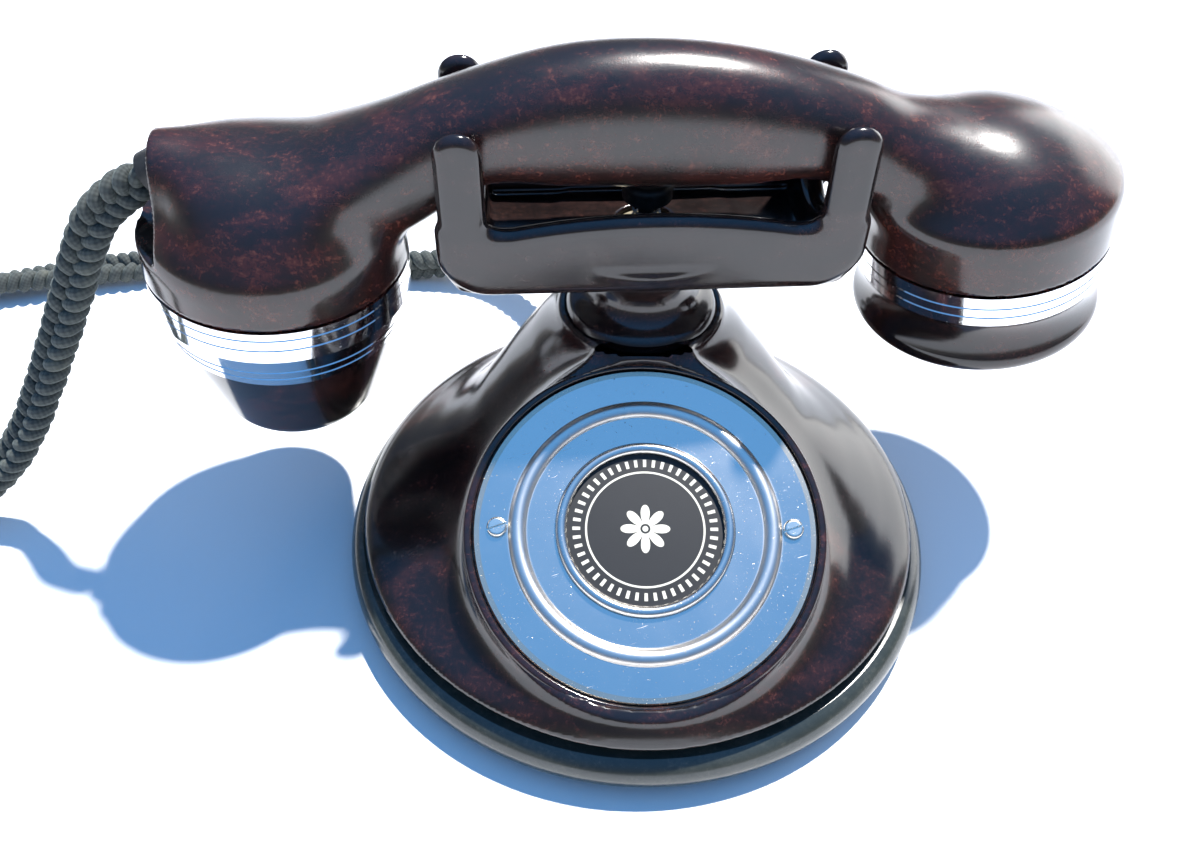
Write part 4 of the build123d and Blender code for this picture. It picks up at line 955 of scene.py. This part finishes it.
def turned_ring(name, profile, body):
    """Closed ring from a profile of (radius, height) rows, turned about the mount's axis."""
    turns = 192
    angle = np.linspace(0, 2 * math.pi, turns, endpoint=False)[:, None]
    radius, height = np.array(profile).T
    up_slope = np.sin(angle) * radius
    points = np.stack(
        [
            np.cos(angle) * radius,
            MOUNT_AT[0] + up_slope * math.cos(MOUNT_TILT) - height * math.sin(MOUNT_TILT),
            MOUNT_AT[1] + up_slope * math.sin(MOUNT_TILT) + height * math.cos(MOUNT_TILT),
        ],
        -1,
    )
    grid = np.arange(turns * len(profile)).reshape(turns, -1)
    over, up = np.roll(grid, -1, axis=0), np.roll(grid, -1, axis=1)
    faces = np.stack([grid, over, np.roll(over, -1, axis=1), up], -1).reshape(-1, 4)
    return new_piece(name, points.reshape(-1, 3) * MM, faces, body)


def mount_lip():
    """The lip round the plate: inner wall, inner and outer rounds, outer wall and underside."""
    profile = [(40.55, -1.6), (40.55, -0.1), (40.62, 0.12)]
    profile += [
        (41.1 - 0.45 * math.cos(turn), 0.05 + 0.45 * math.sin(turn))
        for turn in np.linspace(0.4, 1.5, 4)
    ]
    profile += [
        (41.6 + 1.02 * math.sin(turn), -0.52 + 1.02 * math.cos(turn))
        for turn in np.linspace(0.1, 1.5, 8)
    ]
    profile += [(MOUNT_R + 0.02, -1.2), (MOUNT_R + 0.01, -2.4)]
    profile += [(MOUNT_R - 0.1, -2.7), (41.4, -2.7)]
    piece = turned_ring("housing_lip", profile, "base")
    piece.data.materials.append(FINISH["housing"])


def housing():
    """The moulded bell with the plate's mount."""
    piece = skin("housing_moulding", housing_form, (-74, -74, 13.2), (74, 74, 58), step=0.8)
    piece.data.materials.append(FINISH["housing"])
    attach(piece, "base")
    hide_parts("housing")


# ---------------------------------------------------------------- kept pieces
NODE_FINISH = {
    "base_felt": "felt",
    "base_ring": "base_gloss",
    "base_pan": "steel",
    "pan_screws": "bright_screw",
    "housing_screws": "steel",
    "dial_blank_plate": "bright_plate",
    "card_ring": "bright_plate",
    "number_card": "card",
    "plate_strap": "steel",
    "plate_screws": "bright_screw",
    "cradle_stud": "contact_metal",
    "cradle_washer": "steel",
    "cradle_nut": "steel",
    "plunger": "rubber",
    "plunger_spring": "steel",
    "hookswitch_frame": "steel",
    "frame_screws": "steel",
    "hookswitch_lever": "steel",
    "lever_pin": "steel",
    "contact_springs": "contact_metal",
    "contact_insulators": "insulator",
    "stack_screws": "steel",
    "terminal_block": "insulator",
    "terminal_screws": "contact_metal",
    "base_leads": "wire",
    "cord_bushing": "rubber",
    "line_bushing": "rubber",
    "transmitter_band": "bright_band",
    "mouthpiece": "housing",
    "transmitter_capsule": "capsule",
    "transmitter_contacts": "contact_metal",
    "receiver_band": "bright_band",
    "receiver_cap": "housing",
    "receiver_diaphragm": "diaphragm",
    "receiver_frame": "contact_metal",
    "receiver_coils": "copper",
    "receiver_magnet": "magnet",
    "handset_leads": "wire",
    "cord_gland": "rubber",
    "housing": "housing",
    "cradle": "cradle_moulding",
    "handset_handle": "moulding",
    "handset_cord": "cord_cloth",
}


def finish_kept_pieces():
    """Each kept piece takes the finish of its material."""
    for name, choice in NODE_FINISH.items():
        mesh = NODES[name].data
        mesh.materials.clear()
        mesh.materials.append(FINISH[choice])


# ---------------------------------------------------------------- light and floor
SUN_FROM = (0.24, 0.40, 0.885)
SUN_POWER = 8.0
PANEL_AT = (1.0, 0.8, 0.36)
PANEL_FROM = (1.0, 0.8, 0.3)
PANEL_POWER = 6.5
SURROUND = [
    (0.0, (0.9, 0.89, 0.87)),
    (0.08, (0.34, 0.35, 0.37)),
    (0.3, (0.14, 0.2, 0.32)),
    (0.75, (0.12, 0.36, 0.8)),
    (1.0, (0.16, 0.48, 1.04)),
]


def table_top():
    """A wide pale floor under the telephone."""
    corners = [(-6, -6, 0), (6, -6, 0), (6, 6, 0), (-6, 6, 0)]
    floor = new_piece("floor", corners, [(0, 1, 2, 3)])
    paint = Finish("floor_paint", roughness=0.9, base_color=(0.92, 0.92, 0.92, 1))
    floor.data.materials.append(paint.material)


def lamp(name, kind, power, source):
    """A lamp that shines from a direction, and its settings."""
    data = bpy.data.lights.new(name, kind)
    data.energy = power
    item = bpy.data.objects.new(name, data)
    item.rotation_euler = Vector(source).to_track_quat("Z", "Y").to_euler()
    bpy.context.scene.collection.objects.link(item)
    return item, data


def lights():
    """A soft sun from behind on the right, and a wide soft panel low at the back on the right."""
    _, sun = lamp("sun", "SUN", SUN_POWER, SUN_FROM)
    sun.angle = math.radians(2.2)
    sun.color = (1, 0.975, 0.94)
    soft, panel = lamp("soft_panel", "AREA", PANEL_POWER, PANEL_FROM)
    panel.shape = "RECTANGLE"
    panel.size, panel.size_y = 0.9, 0.62
    soft.location = PANEL_AT


def surround():
    """A blue surround, pale near the horizon, and plain display of its light."""
    world = bpy.data.worlds.new("surround")
    bpy.context.scene.world = world
    world.use_nodes = True
    nodes, links = world.node_tree.nodes, world.node_tree.links
    background = nodes["Background"]
    direction = nodes.new("ShaderNodeTexCoord")
    split = nodes.new("ShaderNodeSeparateXYZ")
    ramp = nodes.new("ShaderNodeValToRGB")
    links.new(direction.outputs["Generated"], split.inputs[0])
    links.new(split.outputs["Z"], ramp.inputs[0])
    links.new(ramp.outputs[0], background.inputs["Color"])
    while len(ramp.color_ramp.elements) < len(SURROUND):
        ramp.color_ramp.elements.new(0.5)
    for element, (at, tint) in zip(ramp.color_ramp.elements, SURROUND):
        element.position = at
        element.color = (*tint, 1)
    background.inputs["Strength"].default_value = 1.0
    bpy.context.scene.view_settings.view_transform = "Standard"


GRIP_TABLE = smooth_table(GRIP_SECTIONS)
BELL_TABLE = smooth_table(bell_stations())
STEM_TABLE = smooth_table(
    [
        (50, 19.2),
        (57.2, 19.2),
        (58.4, 18.4),
        (60.2, 15.2),
        (62.5, 13.3),
        (66, 12.5),
        (70, 13.2),
        (74, 15.6),
        (80, 20.0),
    ]
)
FINISH = finishes()

place_camera()
plaited_cord()
finish_kept_pieces()
handset()
cradle()
housing()
mount_lip()
table_top()
lights()
surround()
